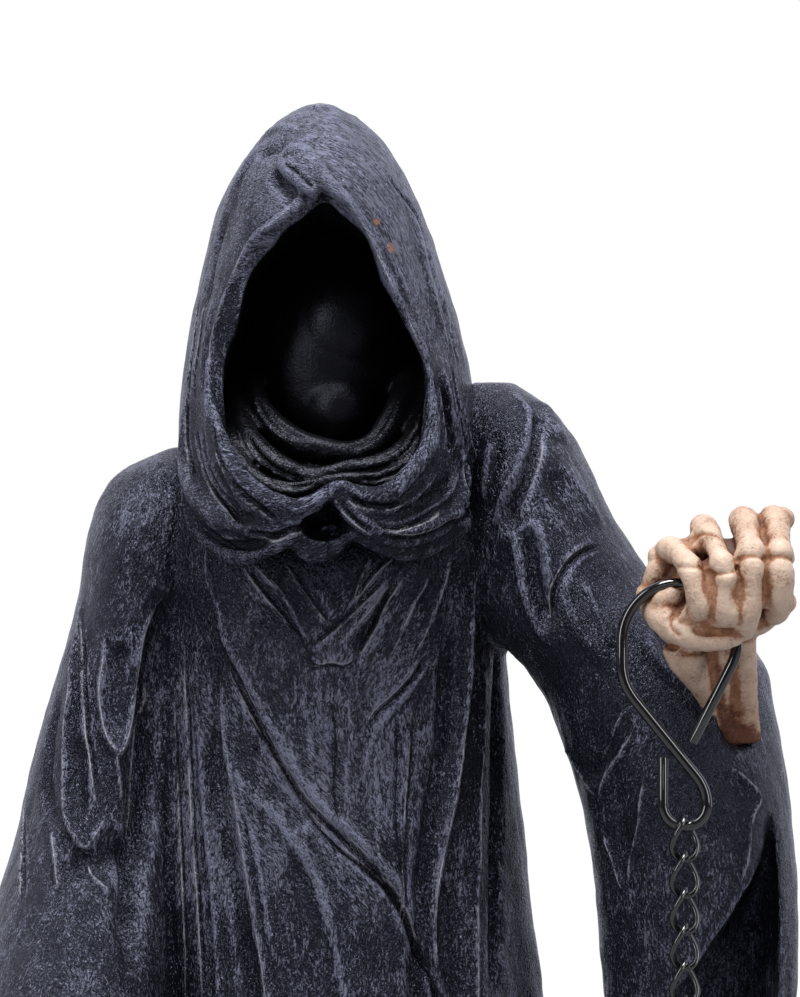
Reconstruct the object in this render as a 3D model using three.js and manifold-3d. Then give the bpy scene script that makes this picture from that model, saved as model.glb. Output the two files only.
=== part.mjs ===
// A cast and painted figurine: a hooded, robed reaper on a low oval plinth. Its raised left hand of
// bone grips a black wire S-hook, and a short twisted-link chain with a plain ring hangs from the hook.
// Millimetres. X runs to the figure's left, which is the viewer's right, Y to its back, Z up from the ground.

import * as THREE from "three";
import { mergeVertices } from "three/addons/utils/BufferGeometryUtils.js";
import Module from "manifold-3d";

const wasm = await Module();
wasm.setup();

// Driving dimensions.
const HEIGHT = 360; // ground to the tip of the hood
const PLINTH_HEIGHT = 12;
const GAP = 0.3; // between pieces that touch
const HOOK_WIRE = 2; // diameter
const CHAIN_WIRE = 1.2; // diameter
const CHAIN_LINKS = 12;
const HOOK_PLANE = -48; // the Y of the hook and the chain, in front of the sleeve

const rad = THREE.MathUtils.degToRad;
const at = (x, y, z) => new THREE.Vector3(x, y, z);

// Helpers that make closed skins.

// A smooth curve through rows of [height, value, value, ...], read at any height between them.
function through(rows) {
  const slope = (i, k) => {
    const a = rows[Math.max(i - 1, 0)];
    const b = rows[Math.min(i + 1, rows.length - 1)];
    return (b[k] - a[k]) / (b[0] - a[0]);
  };
  return (height) => {
    let i = 0;
    while (i < rows.length - 2 && height > rows[i + 1][0]) i++;
    const [a, b] = [rows[i], rows[i + 1]];
    const span = b[0] - a[0];
    const t = THREE.MathUtils.clamp((height - a[0]) / span, 0, 1);
    return a.slice(1).map((value, n) => {
      const k = n + 1;
      return (
        value * (1 + 2 * t) * (1 - t) ** 2 +
        b[k] * t * t * (3 - 2 * t) +
        slope(i, k) * span * t * (1 - t) ** 2 +
        slope(i + 1, k) * span * t * t * (t - 1)
      );
    });
  };
}

// A closed skin over rings of equal numbers of points, facing out. It has a fan at each end, or its
// last ring meets its first where loop is true.
function loft(rings, loop = false) {
  const around = rings[0].length;
  const centre = (ring) => ring.reduce((sum, p) => sum.add(p), at(0, 0, 0)).divideScalar(around);
  const points = rings.flat();
  const index = [];
  for (let row = 0; row + (loop ? 0 : 1) < rings.length; row++) {
    const [low, high] = [row * around, ((row + 1) % rings.length) * around];
    for (let i = 0; i < around; i++) {
      const next = (i + 1) % around;
      index.push(low + i, low + next, high + next, low + i, high + next, high + i);
    }
  }
  if (!loop) {
    const last = points.length - around;
    points.push(centre(rings[0]), centre(rings.at(-1)));
    for (let i = 0; i < around; i++) {
      const next = (i + 1) % around;
      index.push(points.length - 2, next, i, points.length - 1, last + i, last + next);
    }
  }
  let volume = 0;
  for (let i = 0; i < index.length; i += 3) {
    const [a, b, c] = [points[index[i]], points[index[i + 1]], points[index[i + 2]]];
    volume += a.dot(b.clone().cross(c));
  }
  if (volume < 0) index.reverse();
  return new THREE.BufferGeometry().setFromPoints(points).setIndex(index);
}

// A closed geometry as a solid that can be joined and cut.
function solid(geometry) {
  const bare = new THREE.BufferGeometry().setAttribute("position", geometry.getAttribute("position"));
  bare.setIndex(geometry.index);
  const merged = mergeVertices(bare, 1e-3);
  const triVerts = new Uint32Array(merged.index.array);
  return new wasm.Manifold(
    new wasm.Mesh({ numProp: 3, vertProperties: merged.attributes.position.array, triVerts }),
  );
}

// The geometry of a joined or cut solid.
function skin(joined) {
  const { vertProperties, triVerts } = joined.getMesh();
  const geometry = new THREE.BufferGeometry();
  geometry.setAttribute("position", new THREE.BufferAttribute(vertProperties, 3));
  return geometry.setIndex(new THREE.BufferAttribute(triVerts, 1)).toNonIndexed();
}

const join = (solids) => solids.reduce((sum, next) => sum.add(next));
const even = (count, from, to) => Array.from({ length: count }, (_, i) => from + ((to - from) * i) / (count - 1));
const turns = (count) => even(count + 1, 0, 2 * Math.PI).slice(1);

// A body of cloth stacked up in level rings. Each row is [height, least x, most x, front y, back y],
// and relief(angle, height) pushes the surface out. Angle -90 degrees is the front.
function stack(rows, around, relief = () => 0) {
  const rings = rows.map(([height, left, right, front, back]) =>
    turns(around).map((angle) => {
      const out = relief(angle, height);
      return at(
        (left + right) / 2 + ((right - left) / 2 + out) * Math.cos(angle),
        (front + back) / 2 + ((back - front) / 2 + out) * Math.sin(angle),
        height,
      );
    }),
  );
  return solid(loft(rings));
}

// A round roll along a curve through the points, with a radius for each point. A looped one ends
// where it starts.
function roll(points, radii, sides, steps, loop = false) {
  const curve = new THREE.CatmullRomCurve3(points, loop, "centripetal");
  const { normals, binormals } = curve.computeFrenetFrames(steps, loop);
  const radius = through(radii.map((r, i) => [i / (radii.length - 1), r]));
  const rings = even(steps + 1, 0, 1).map((t, i) => {
    const [centre, r] = [curve.getPoint(t), radius(t)[0]];
    return turns(sides).map((angle) =>
      centre.clone()
        .addScaledVector(normals[i], r * Math.cos(angle))
        .addScaledVector(binormals[i], r * Math.sin(angle)),
    );
  });
  return solid(loft(loop ? rings.slice(0, -1) : rings, loop));
}

// An egg, from its centre and half sizes.
function egg([x, y, z], [width, depth, height], sides, levels) {
  const geometry = new THREE.SphereGeometry(1, sides, levels);
  geometry.rotateX(Math.PI / 2).scale(width, depth, height).translate(x, y, z);
  return solid(geometry);
}

// A lookup of the front of a stacked body, at a place [x, z] seen from the front.
function frontOf(rows) {
  const size = through(rows);
  return ([x, z], out = 0) => {
    const [left, right, front, back] = size(z);
    const across = THREE.MathUtils.clamp((2 * x - left - right) / (right - left), -0.97, 0.97);
    return at(x, (front + back) / 2 - ((back - front) / 2) * Math.sqrt(1 - across * across) - out, z);
  };
}

// The gown.

const HEM = PLINTH_HEIGHT + GAP;

const gownRows = [
  [HEM, 69, 55, 50],
  [20, 70, 56, 51],
  [45, 63, 49, 46],
  [100, 53, 40, 39],
  [160, 44, 33, 33],
  [205, 38.5, 30, 30],
  [235, 35.5, 28.5, 29],
  [262, 33, 27.5, 28],
  [282, 33, 26, 26],
  [294, 29, 20, 21],
  [303, 18, 12, 14],
].map(([height, half, front, back]) => [height, -half, half, -front, back]);

// Upright pleats that deepen towards the hem, with a slower wave so that no two are alike.
function pleats(angle, height) {
  const depth = 4.4 * (1 - THREE.MathUtils.smoothstep(height, HEM, 262));
  const lean = (height - HEM) * 0.0016;
  const main = Math.cos(10 * angle + 5 * lean + 1.1 * Math.sin(2 * angle + 0.6));
  const slow = Math.cos(4 * angle - 7 * lean + 2);
  return depth * (0.75 * main + 0.45 * slow);
}

const onGown = frontOf(gownRows);

// The V of the neckline and the long slanting fold over the chest.
function chestFolds() {
  const fold = (places, radii, steps) => roll(places.map((place) => onGown(place, 0.2)), radii, 5, steps);
  return [
    fold([[-17, 277], [-10.6, 266.5], [-2.6, 256.9]], [1.7, 1.7, 1.4], 5),
    fold([[12.6, 276.7], [5.2, 264.6], [-0.4, 258.1]], [1.7, 1.7, 1.4], 5),
    fold([[-18.7, 259], [-12, 243.3], [-3.1, 230.4], [13.5, 214.3], [30, 195]], [1.2, 2.4, 2.6, 2.4, 1.2], 8),
  ];
}

// The sleeves. The right one hangs, and the left one is lifted and falls open below the wrist.

const rightSleeveRows = [
  [167, -64, -34.4, -50, -12],
  [174, -65.4, -32.4, -51, -7],
  [186, -65.8, -31, -49, 2],
  [200, -63.5, -29, -42, 10],
  [214, -60.6, -28, -33, 14],
  [226, -57.2, -27, -27, 16],
  [240, -54.2, -26, -23, 17],
  [255, -49.8, -25, -21, 17],
  [268, -46.2, -23, -19, 17],
  [280, -44.4, -21, -17, 16],
  [288, -41.6, -19, -14, 14],
  [293, -37, -17, -10, 10],
  [296.6, -28.6, -16, -5, 5],
];

const rightCuffRows = [
  [160, -62, -36.4, -46.4, -16],
  [178, -58.6, -38.6, -44, -17],
  [186, -56.5, -40, -42, -19],
  [196, -52, -43, -36, -25],
];

const leftSleeveRows = [
  [184, 62, 78, -30, -12],
  [190, 54, 84, -36, -6],
  [202, 50.5, 86.5, -39, -1],
  [215, 49.4, 86.5, -40, 2],
  [230, 47, 85.3, -39, 5],
  [242, 43.5, 83.6, -37, 8],
  [250, 40.4, 82, -35, 10],
  [257, 35.6, 80.5, -32, 12],
  [263, 28.6, 75, -29, 14],
  [269, 25, 64, -26, 15],
  [276, 24, 58, -24, 16],
  [284, 23, 52.8, -22, 17],
  [292, 23, 49, -20, 17],
  [300, 23, 44.6, -17, 16],
  [305, 24, 40, -12, 12],
  [308.6, 27, 34.6, -5, 6],
];

const leftCuffRows = [
  [240, 77.2, 79.4, -46, -32],
  [244, 75, 79.2, -48, -28],
  [248.7, 71.5, 78.8, -50, -24],
  [252.4, 67.2, 78.2, -52, -21],
  [257, 63.2, 77.8, -52, -19],
  [261.4, 59.5, 77.4, -52, -18],
  [266, 58.5, 77, -52, -17],
  [272, 58.5, 77, -52, -15],
  [282, 60, 77, -52, -12],
];

const leftFallRows = [
  [178, 56, 82, -50, -12],
  [192, 60, 82.5, -50, -14],
  [204, 68, 82.6, -50, -16],
  [214, 75, 82.4, -50, -18],
  [220, 78.5, 82.2, -48, -22],
  [230, 80.5, 81.8, -40, -30],
];

// The hood.

const hoodRows = [
  [275, -12, 14, -37, 18],
  [279, -20, 22, -40, 24],
  [285, -24.6, 26, -41, 27],
  [292, -26.8, 27.6, -41, 29],
  [300, -27.4, 27.6, -40, 30],
  [310, -26.6, 26.6, -39, 30],
  [320, -25, 24.2, -38, 29],
  [331, -22.6, 20.8, -36, 27],
  [342, -19.6, 16.8, -32, 23],
  [349, -15.8, 13.2, -27, 18],
  [355, -11, 8.6, -20, 11],
  [358.6, -6.5, 3.6, -13, 4],
  [HEIGHT, -3, 0.5, -8, -2],
];

const onHood = frontOf(hoodRows);

// The hood's opening, a pointed arch, as half widths from its foot to its point.
const openingHalf = through([
  [287, 4],
  [291, 13.4],
  [298, 17.6],
  [305, 18.4],
  [318, 16.2],
  [328, 12.8],
  [338, 6.6],
  [344, 0.8],
]);

// The arch as [x, z] places, up one side and down the other, drawn in towards its middle by scale.
function arch(count, scale = 1) {
  const side = (sign) =>
    even(count, 287, 344).map((z) => [0.2 + sign * openingHalf(z)[0] * scale, 314 + (z - 314) * scale]);
  return [...side(-1), ...side(1).reverse()];
}

// The hollow of the hood, which narrows towards the back.
function hoodHollow() {
  const scale = through([
    [-60, 1],
    [-30, 1],
    [-12, 0.97],
    [3, 0.86],
  ]);
  return solid(loft(even(4, -60, 3).map((y) => arch(9, scale(y)[0]).map(([x, z]) => at(x, y, z)))));
}

// The folds of the cowl, each a list of [x, z] places seen from the front.
const cowlFolds = [
  { places: [[-25.4, 309], [-23.8, 293], [-17, 283.4], [-7.8, 280.2], [-1.6, 286]], radii: [1, 2.6, 3, 2.6, 1.2] },
  { places: [[-27, 300], [-25.2, 287], [-19.6, 279.4], [-11.8, 276.6], [-4.6, 279]], radii: [1, 2, 2.4, 2.2, 1] },
  { places: [[23.8, 311], [24.2, 296], [18.8, 286.6], [10.6, 282], [3.2, 286.4]], radii: [1, 2.6, 3, 2.6, 1.2] },
  { places: [[26.8, 302], [27, 290.6], [22.6, 281.4], [13.4, 277.8], [4.6, 282]], radii: [1, 2, 2.4, 2.2, 1] },
];

// The rolled edge of the opening, the folds of the cowl and the lip turned over at the hood's tip.
function cowl() {
  const rim = roll(arch(8).map((place) => onHood(place, 0.2)), [2, 2], 6, 24, true);
  const folds = cowlFolds.map(({ places, radii }) => roll(places.map((place) => onHood(place, 0.6)), radii, 5, 8));
  const tip = [[-9.4, 350], [-5, 347.2], [0, 343.4], [4.4, 339]].map((place) => onHood(place, 1.2));
  return [rim, ...folds, roll(tip, [2.4, 2.6, 2.2, 1.6], 6, 4)];
}

// The smooth head without a face, and the two rolls of scarf under it.
function head() {
  const scarf = [
    [[-15.5, -16, 309], [-13, -19, 299], [-6, -23, 293.5], [1, -24, 292], [8, -23, 294], [14, -19, 300], [16.5, -16, 309]],
    [[-17.5, -24, 304], [-14, -28, 295], [-5, -31, 289.5], [2, -31, 289], [9, -30, 290.5], [15, -27, 296], [18, -23, 305]],
  ];
  const rolls = scarf.map((path) => roll(path.map((place) => at(...place)), [2.4, 3, 2.4], 6, 8));
  return [egg([0.5, -3, 313], [14.5, 16, 23], 12, 7), ...rolls];
}

// The hands of bone. Each finger is a list of places from the wrist to the tip.

const leftFingers = [
  [[66.8, -37, 264], [62, -43, 278], [65.2, -53.6, 275.6], [67.7, -55.2, 267], [68.4, -50, 264]],
  [[69.4, -36, 264], [68, -42.4, 282.6], [71.5, -54.2, 276], [72.6, -55.6, 266.4], [72.9, -50, 263.2]],
  [[72.6, -35.6, 264], [75.4, -41.6, 283.8], [76.4, -53.6, 278], [76.4, -55.2, 266.6], [76.4, -50, 262.4]],
  [[75.4, -36, 264.4], [81, -41, 283.8], [81.9, -51.8, 278.6], [81.7, -53.2, 270.4], [80.6, -48.6, 266.6]],
];
const leftThumb = [[60.6, -40, 269.4], [61.2, -45.6, 264.8], [65.9, -51, 262.4], [72.4, -52.6, 261.6]];
const leftForearm = [
  [[66.4, -40, 262], [69.8, -34.6, 252.4], [73.2, -27.4, 242], [73.6, -18, 231]],
  [[75.6, -39, 262], [76, -32.6, 252.4], [76.4, -25.6, 242], [74.4, -16.4, 231]],
];

const rightFingers = [
  [[-51.4, -31, 178], [-57.4, -34.6, 162], [-58.4, -38.2, 153.4], [-57.8, -39.8, 147], [-56.6, -39.8, 142.4]],
  [[-49.6, -31, 178], [-52.4, -35.4, 161.6], [-52.8, -39.4, 152.2], [-52.2, -41.2, 145], [-51.2, -41.2, 140]],
  [[-47.6, -31, 178], [-47, -35.4, 161.8], [-46.6, -39.2, 152.6], [-46, -40.8, 145.6], [-45.4, -40.8, 140.6]],
  [[-46, -31, 178], [-41.8, -34.8, 162.6], [-40.8, -38, 154.4], [-40.4, -39.4, 148.2], [-40.2, -39.2, 143.6]],
];
const rightThumb = [[-46, -32.4, 173], [-41.6, -36, 164.6], [-38.2, -39.2, 158.6], [-38.2, -41, 153.4]];
const rightForearm = [
  [[-50.4, -30.6, 176], [-49.8, -29, 186], [-49.4, -27, 198], [-49, -25, 206]],
  [[-46.4, -30.6, 176], [-46.6, -29, 186], [-47, -27, 198], [-47.6, -25, 206]],
];

// A chain of bones, which is thick at each joint and thinner between them.
function bones(places, thick, thin, sides, steps) {
  const joints = places.map((place) => at(...place));
  const points = joints.flatMap((joint, i) => (i ? [joint.clone().lerp(joints[i - 1], 0.5), joint] : [joint]));
  return roll(points, points.map((_, i) => (i % 2 ? thin : thick)), sides, steps);
}

// Two bones side by side that go up the sleeve, grown all round and at the far end by spare.
function forearm(pair, radius, spare = 0) {
  const grown = pair.map((path) => {
    const points = path.map((place) => at(...place));
    const onward = points.at(-1).clone().sub(points.at(-2)).setLength(spare);
    points.push(points.pop().add(onward));
    return roll(points, [radius + spare, radius + spare], 6, 3);
  });
  return join(grown);
}

function leftHand() {
  const palm = egg([71.6, -41.4, 270], [10.4, 5.2, 9.4], 10, 6);
  const fingers = leftFingers.map((places) => bones(places, 2.65, 2.05, 6, 8));
  const grip = join([palm, ...fingers, bones(leftThumb, 2.6, 2.2, 6, 6), forearm(leftForearm, 3.3)]);
  return grip.subtract(wire(hookPath(), HOOK_WIRE / 2 + GAP, 6, 30));
}

function rightHand() {
  const palm = egg([-49.2, -33.4, 169], [7.8, 3, 8], 8, 5);
  const fingers = rightFingers.map((places) => bones(places, 2.3, 1.75, 5, 8));
  return join([palm, ...fingers, bones(rightThumb, 2.3, 1.8, 5, 6), forearm(rightForearm, 3)]);
}

// The robe is one casting: gown, sleeves, hood, cowl, head and scarf.
function robe() {
  const gown = stack(gownRows, 36, pleats);
  const sleeves = [stack(rightSleeveRows, 16), stack(leftSleeveRows, 16)];
  const hood = stack(hoodRows, 20).subtract(hoodHollow());
  const cloth = join([gown, ...sleeves, ...chestFolds()])
    .subtract(stack(rightCuffRows, 10))
    .subtract(stack(leftCuffRows, 12))
    .subtract(stack(leftFallRows, 10))
    .subtract(forearm(leftForearm, 3.3, GAP))
    .subtract(forearm(rightForearm, 3, GAP));
  return join([cloth.subtract(hoodHollow()), hood, ...cowl(), ...head()]);
}

// The hook, the chain and its ring.

// Points of a bent wire in the hook's plane, from [x, z] and a heading in degrees clockwise from up.
// Each move is a straight length, or a bend [radius, degrees] with clockwise bends positive.
function bent([x, z], heading, moves) {
  const points = [at(x, HOOK_PLANE, z)];
  const step = (length) => {
    const direction = rad(heading);
    points.push(points.at(-1).clone().add(at(length * Math.sin(direction), 0, length * Math.cos(direction))));
  };
  for (const move of moves) {
    if (typeof move === "number") {
      even(3, 0, move).slice(1).forEach(() => step(move / 2));
      continue;
    }
    const [radius, degrees] = move;
    const count = Math.ceil(Math.abs(degrees) / 15);
    const turn = degrees / count;
    for (let i = 0; i < count; i++) {
      heading += turn / 2;
      step(2 * radius * Math.sin(rad(Math.abs(turn)) / 2));
      heading += turn / 2;
    }
  }
  return points;
}

// Up from the lower end: the small eye for the chain, the long slant and the big loop in the fist.
const EYE = 3.95; // radius of the small eye
const hookPath = () =>
  bent([61.05, 240.35], 180, [8.6, [EYE, -180], [8.1, -39], 17.8, [10.5, 39], 4.1, [10.4, 207], 15.4]);

const wire = (points, radius, sides, steps) => roll(points, [radius, radius], sides, steps);

const LINK_HALF = [2.8, 4]; // half width and half height of a link, to the middle of its wire
const LINK_PITCH = 2 * LINK_HALF[1] - CHAIN_WIRE - GAP;
const eyeFoot = at(61.05 + EYE, HOOK_PLANE, 231.75 - EYE);
const firstLink = eyeFoot.clone().add(at(0, 0, (HOOK_WIRE + CHAIN_WIRE) / 2 + GAP - LINK_HALF[1]));

// A link whose wire crosses from side to side at its foot and from front to back at its head.
function link(number) {
  const centre = firstLink.clone().add(at(0, 0, -number * LINK_PITCH));
  const points = turns(12).map((angle) => {
    const [across, up] = [LINK_HALF[0] * Math.cos(angle), LINK_HALF[1] * Math.sin(angle)];
    const twist = rad(45 + 45 * Math.sin(angle));
    return at(across * Math.cos(twist), across * Math.sin(twist), up).add(centre);
  });
  return roll(points, [CHAIN_WIRE / 2, CHAIN_WIRE / 2], 5, 9, true);
}

const RING_RADIUS = 5.4; // to the middle of its wire
const RING_WIRE = 1.6;

function endRing() {
  const foot = firstLink.z - (CHAIN_LINKS - 1) * LINK_PITCH - LINK_HALF[1];
  const ring = new THREE.TorusGeometry(RING_RADIUS, RING_WIRE / 2, 6, 16);
  ring.rotateY(Math.PI / 2);
  ring.translate(eyeFoot.x, HOOK_PLANE, foot + (CHAIN_WIRE + RING_WIRE) / 2 + GAP - RING_RADIUS);
  return solid(ring);
}

// The oval plinth, with its top edge rounded over.
function plinth() {
  const profile = [[1, 0], [1, 0.62], [0.985, 0.86], [0.95, 1]];
  const rings = profile.map(([out, up]) =>
    turns(32).map((angle) => at(80 * out * Math.cos(angle), 2 + 66 * out * Math.sin(angle), PLINTH_HEIGHT * up)),
  );
  return solid(loft(rings));
}

// The nodes.

const figurine = new THREE.Group();

function add(name, shape, color, roughness, metalness = 0) {
  const mesh = new THREE.Mesh(skin(shape), new THREE.MeshStandardMaterial({ color, roughness, metalness }));
  mesh.name = name;
  mesh.material.name = name;
  figurine.add(mesh);
}

add("plinth", plinth(), "#17171c", 0.5);
add("robe", robe(), "#1e1f28", 0.42);
add("left_hand", leftHand(), "#d8bf9c", 0.5);
add("right_hand", rightHand(), "#d8bf9c", 0.5);
add("hook", wire(hookPath(), HOOK_WIRE / 2, 7, 34), "#0b0b0d", 0.22, 0.6);
for (let number = 0; number < CHAIN_LINKS; number++) {
  add(`chain_link_${String(number + 1).padStart(2, "0")}`, link(number), "#0d0d10", 0.25, 0.6);
}
add("end_ring", endRing(), "#0d0d10", 0.25, 0.6);

export default figurine;
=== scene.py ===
import math

import bmesh
import bpy
import numpy as np
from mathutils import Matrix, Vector
from mathutils.bvhtree import BVHTree
from mathutils.kdtree import KDTree


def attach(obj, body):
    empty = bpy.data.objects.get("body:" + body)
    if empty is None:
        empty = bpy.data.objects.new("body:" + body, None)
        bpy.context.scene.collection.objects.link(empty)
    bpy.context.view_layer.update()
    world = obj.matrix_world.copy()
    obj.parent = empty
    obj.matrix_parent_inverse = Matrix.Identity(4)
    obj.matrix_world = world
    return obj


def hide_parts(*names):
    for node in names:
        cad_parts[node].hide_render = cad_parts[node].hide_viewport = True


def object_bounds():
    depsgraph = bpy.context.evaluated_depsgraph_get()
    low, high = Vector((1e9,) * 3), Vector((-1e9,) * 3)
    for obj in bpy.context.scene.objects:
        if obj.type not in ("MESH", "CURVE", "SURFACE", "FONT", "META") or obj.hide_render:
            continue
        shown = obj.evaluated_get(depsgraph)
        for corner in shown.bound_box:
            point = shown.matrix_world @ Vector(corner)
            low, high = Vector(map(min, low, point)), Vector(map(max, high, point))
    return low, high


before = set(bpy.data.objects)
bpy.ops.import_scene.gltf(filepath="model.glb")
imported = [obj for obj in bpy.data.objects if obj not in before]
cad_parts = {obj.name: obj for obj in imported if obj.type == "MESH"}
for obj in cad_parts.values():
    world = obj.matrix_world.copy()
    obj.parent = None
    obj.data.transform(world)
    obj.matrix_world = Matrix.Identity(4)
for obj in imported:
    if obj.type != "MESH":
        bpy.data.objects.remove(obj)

# A robed reaper figurine of painted resin. Shapes are worked out in millimetres and made in metres.
# X runs to the figure's left, -Y is the way it faces, Z is up from the ground.

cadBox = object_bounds()
mm = 0.001

photo = {
    "size": (800, 997),
    "pixelsPerMm": 5.4,  # on the plane through the middle of the figure
    "zeroX": 327,  # the pixel column of X = 0
    "topY": 105,  # the pixel row of the hood's tip
    "tip": 360,  # its height
    "distance": 2000,  # from the camera to that plane
}


# Camera and photo places


def onPlane(x, y):  # a photo pixel as X and Z on the plane Y = 0
    scale = photo["pixelsPerMm"]
    return (x - photo["zeroX"]) / scale, photo["tip"] - (y - photo["topY"]) / scale


eyeX, eyeZ = onPlane(photo["size"][0] / 2, photo["size"][1] / 2)
eye = Vector((eyeX, -photo["distance"], eyeZ))


def sight(x, y):  # the direction in which the camera sees a photo pixel
    planeX, planeZ = onPlane(x, y)
    return (Vector((planeX, 0, planeZ)) - eye).normalized()


def placed(x, y, depth):  # the place at a photo pixel on the plane Y = depth
    ray = sight(x, y)
    return eye + ray * ((depth - eye.y) / ray.y)


def addCamera():
    bpy.ops.object.camera_add(location=eye * mm, rotation=(math.pi / 2, 0, 0))
    camera = bpy.context.object
    frameHeight = photo["size"][1] / photo["pixelsPerMm"]
    camera.data.sensor_width = 36
    camera.data.lens = 36 * photo["distance"] / frameHeight
    camera.data.clip_end = 20
    bpy.context.scene.camera = camera


addCamera()
print("camera placed")


# Mesh helpers


def pick(*pieces):  # selects only these objects
    bpy.ops.object.select_all(action="DESELECT")
    for piece in pieces:
        piece.select_set(True)
    bpy.context.view_layer.objects.active = pieces[0]


def meshObject(name, points, faces):  # an object from places in millimetres
    mesh = bpy.data.meshes.new(name)
    mesh.from_pydata((np.asarray(points) * mm).tolist(), [], faces)
    piece = bpy.data.objects.new(name, mesh)
    bpy.context.scene.collection.objects.link(piece)
    return piece


def finish(piece, kind, **settings):  # adds a modifier and applies it
    pick(piece)
    modifier = piece.modifiers.new(kind.title(), kind)
    for name, value in settings.items():
        setattr(modifier, name, value)
    bpy.ops.object.modifier_apply(modifier=modifier.name)


def joined(name, pieces):
    pick(*pieces)
    bpy.ops.object.join()
    pieces[0].name = pieces[0].data.name = name
    return pieces[0]


def places(piece):  # the vertices in millimetres
    flat = np.empty(len(piece.data.vertices) * 3, np.float32)
    piece.data.vertices.foreach_get("co", flat)
    return flat.reshape(-1, 3).astype(float) / mm


def setPlaces(piece, points):
    piece.data.vertices.foreach_set("co", (points * mm).astype(np.float32).ravel())
    piece.data.update()


def normals(piece):
    flat = np.empty(len(piece.data.vertices) * 3, np.float32)
    piece.data.vertices.foreach_get("normal", flat)
    return flat.reshape(-1, 3).astype(float)


def neighbours(piece):  # each vertex averaged with those it shares an edge with
    pairs = np.empty(len(piece.data.edges) * 2, np.int32)
    piece.data.edges.foreach_get("vertices", pairs)
    pairs = pairs.reshape(-1, 2)
    first = np.concatenate([pairs[:, 0], pairs[:, 1]])
    second = np.concatenate([pairs[:, 1], pairs[:, 0]])
    count = len(piece.data.vertices)
    share = np.maximum(np.bincount(first, minlength=count), 1)

    def average(values):
        columns = [np.bincount(first, values[second, k], count) / share for k in range(values.shape[1])]
        return np.stack(columns, 1)

    return average


def relaxed(piece, points, rounds, weight=1.0):  # smoothed places, by a weight for each vertex
    average = neighbours(piece)
    weight = np.broadcast_to(np.asarray(weight, float), len(points))[:, None]
    for _ in range(rounds):
        points = points + weight * 0.6 * (average(points) - points)
    return points


def attribute(piece, name, values):
    layer = piece.data.attributes.new(name, "FLOAT", "POINT")
    layer.data.foreach_set("value", np.asarray(values, np.float32))


def ramp(low, high, values):  # 0 below low, 1 above high, smooth between
    t = np.clip((values - low) / (high - low), 0, 1)
    return t * t * (3 - 2 * t)


def smoothRows(rows, heights):  # a curve through rows of [height, value, ...] at many heights
    rows = np.asarray(rows, float)
    knots, values = rows[:, 0], rows[:, 1:]
    slopes = np.gradient(values, knots, axis=0) if len(rows) > 2 else np.zeros_like(values)
    index = np.clip(np.searchsorted(knots, heights, "right") - 1, 0, len(rows) - 2)
    span = (knots[index + 1] - knots[index])[:, None]
    t = np.clip((np.asarray(heights)[:, None] - knots[index][:, None]) / span, 0, 1)
    return (
        values[index] * (1 + 2 * t) * (1 - t) ** 2
        + values[index + 1] * t * t * (3 - 2 * t)
        + slopes[index] * span * t * (1 - t) ** 2
        + slopes[index + 1] * span * t * t * (t - 1)
    )


def loft(name, rings, loop=False):  # a closed skin over rings of equal numbers of points
    rings = np.asarray(rings, float)
    count, around = rings.shape[:2]
    faces = []
    for row in range(count if loop else count - 1):
        low, high = row * around, ((row + 1) % count) * around
        for i in range(around):
            j = (i + 1) % around
            faces.append((low + i, low + j, high + j, high + i))
    if not loop:
        faces += [tuple(range(around))[::-1], tuple(range((count - 1) * around, count * around))]
    piece = meshObject(name, rings.reshape(-1, 3), faces)
    body = bmesh.new()
    body.from_mesh(piece.data)
    bmesh.ops.recalc_face_normals(body, faces=body.faces)
    body.to_mesh(piece.data)
    body.free()
    return piece


def stack(name, rows, around, step, relief=None):
    # level rings from rows of [height, least x, most x, front y, back y]
    heights = np.linspace(rows[0][0], rows[-1][0], int((rows[-1][0] - rows[0][0]) / step) + 1)
    left, right, front, back = smoothRows(rows, heights).T
    angle = np.linspace(0, 2 * math.pi, around, endpoint=False)[None, :]
    out = relief(angle, heights[:, None]) if relief else 0
    x = ((left + right) / 2)[:, None] + (((right - left) / 2)[:, None] + out) * np.cos(angle)
    y = ((front + back) / 2)[:, None] + (((back - front) / 2)[:, None] + out) * np.sin(angle)
    z = np.broadcast_to(heights[:, None], x.shape)
    return loft(name, np.stack([x, y, z], 2))


def curvePoints(points, count, loop=False):  # a smooth curve through points, evenly spaced
    points = np.asarray(points, float)
    if loop:
        points = np.concatenate([points[-2:], points, points[:3]])
    knots = np.concatenate([[0], np.cumsum(np.linalg.norm(np.diff(points, axis=0), axis=1) ** 0.5)])
    first, last = (knots[2], knots[-3]) if loop else (knots[0], knots[-1])
    fine = smoothRows(np.column_stack([knots, points]), np.linspace(first, last, count * 6))
    length = np.concatenate([[0], np.cumsum(np.linalg.norm(np.diff(fine, axis=0), axis=1))])
    even = np.linspace(0, length[-1], count, endpoint=not loop)
    return np.stack([np.interp(even, length, fine[:, k]) for k in range(fine.shape[1])], 1)


def roll(name, points, radii, sides=12, step=0.6, loop=False):
    # a round roll along a curve, with a radius for each point
    points = np.asarray([tuple(p) for p in points], float)
    reach = np.linalg.norm(np.diff(points, axis=0), axis=1).sum()
    count = max(8, int(reach / step))
    radii = np.interp(np.linspace(0, 1, len(points)), np.linspace(0, 1, len(radii)), radii)
    path = curvePoints(np.column_stack([points, radii]), count, loop)
    centres, radius = path[:, :3], path[:, 3]
    along = np.roll(centres, -1, 0) - np.roll(centres, 1, 0) if loop else np.gradient(centres, axis=0)
    along /= np.linalg.norm(along, axis=1)[:, None]
    side = np.cross(along[0], (0.3, 0.2, 0.93))
    rings = []
    for centre, direction, r in zip(centres, along, radius):
        side = side - direction * side.dot(direction)
        side /= np.linalg.norm(side)
        other = np.cross(direction, side)
        angle = np.linspace(0, 2 * math.pi, sides, endpoint=False)[:, None]
        rings.append(centre + r * (np.cos(angle) * side + np.sin(angle) * other))
    return loft(name, rings, loop)


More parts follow.
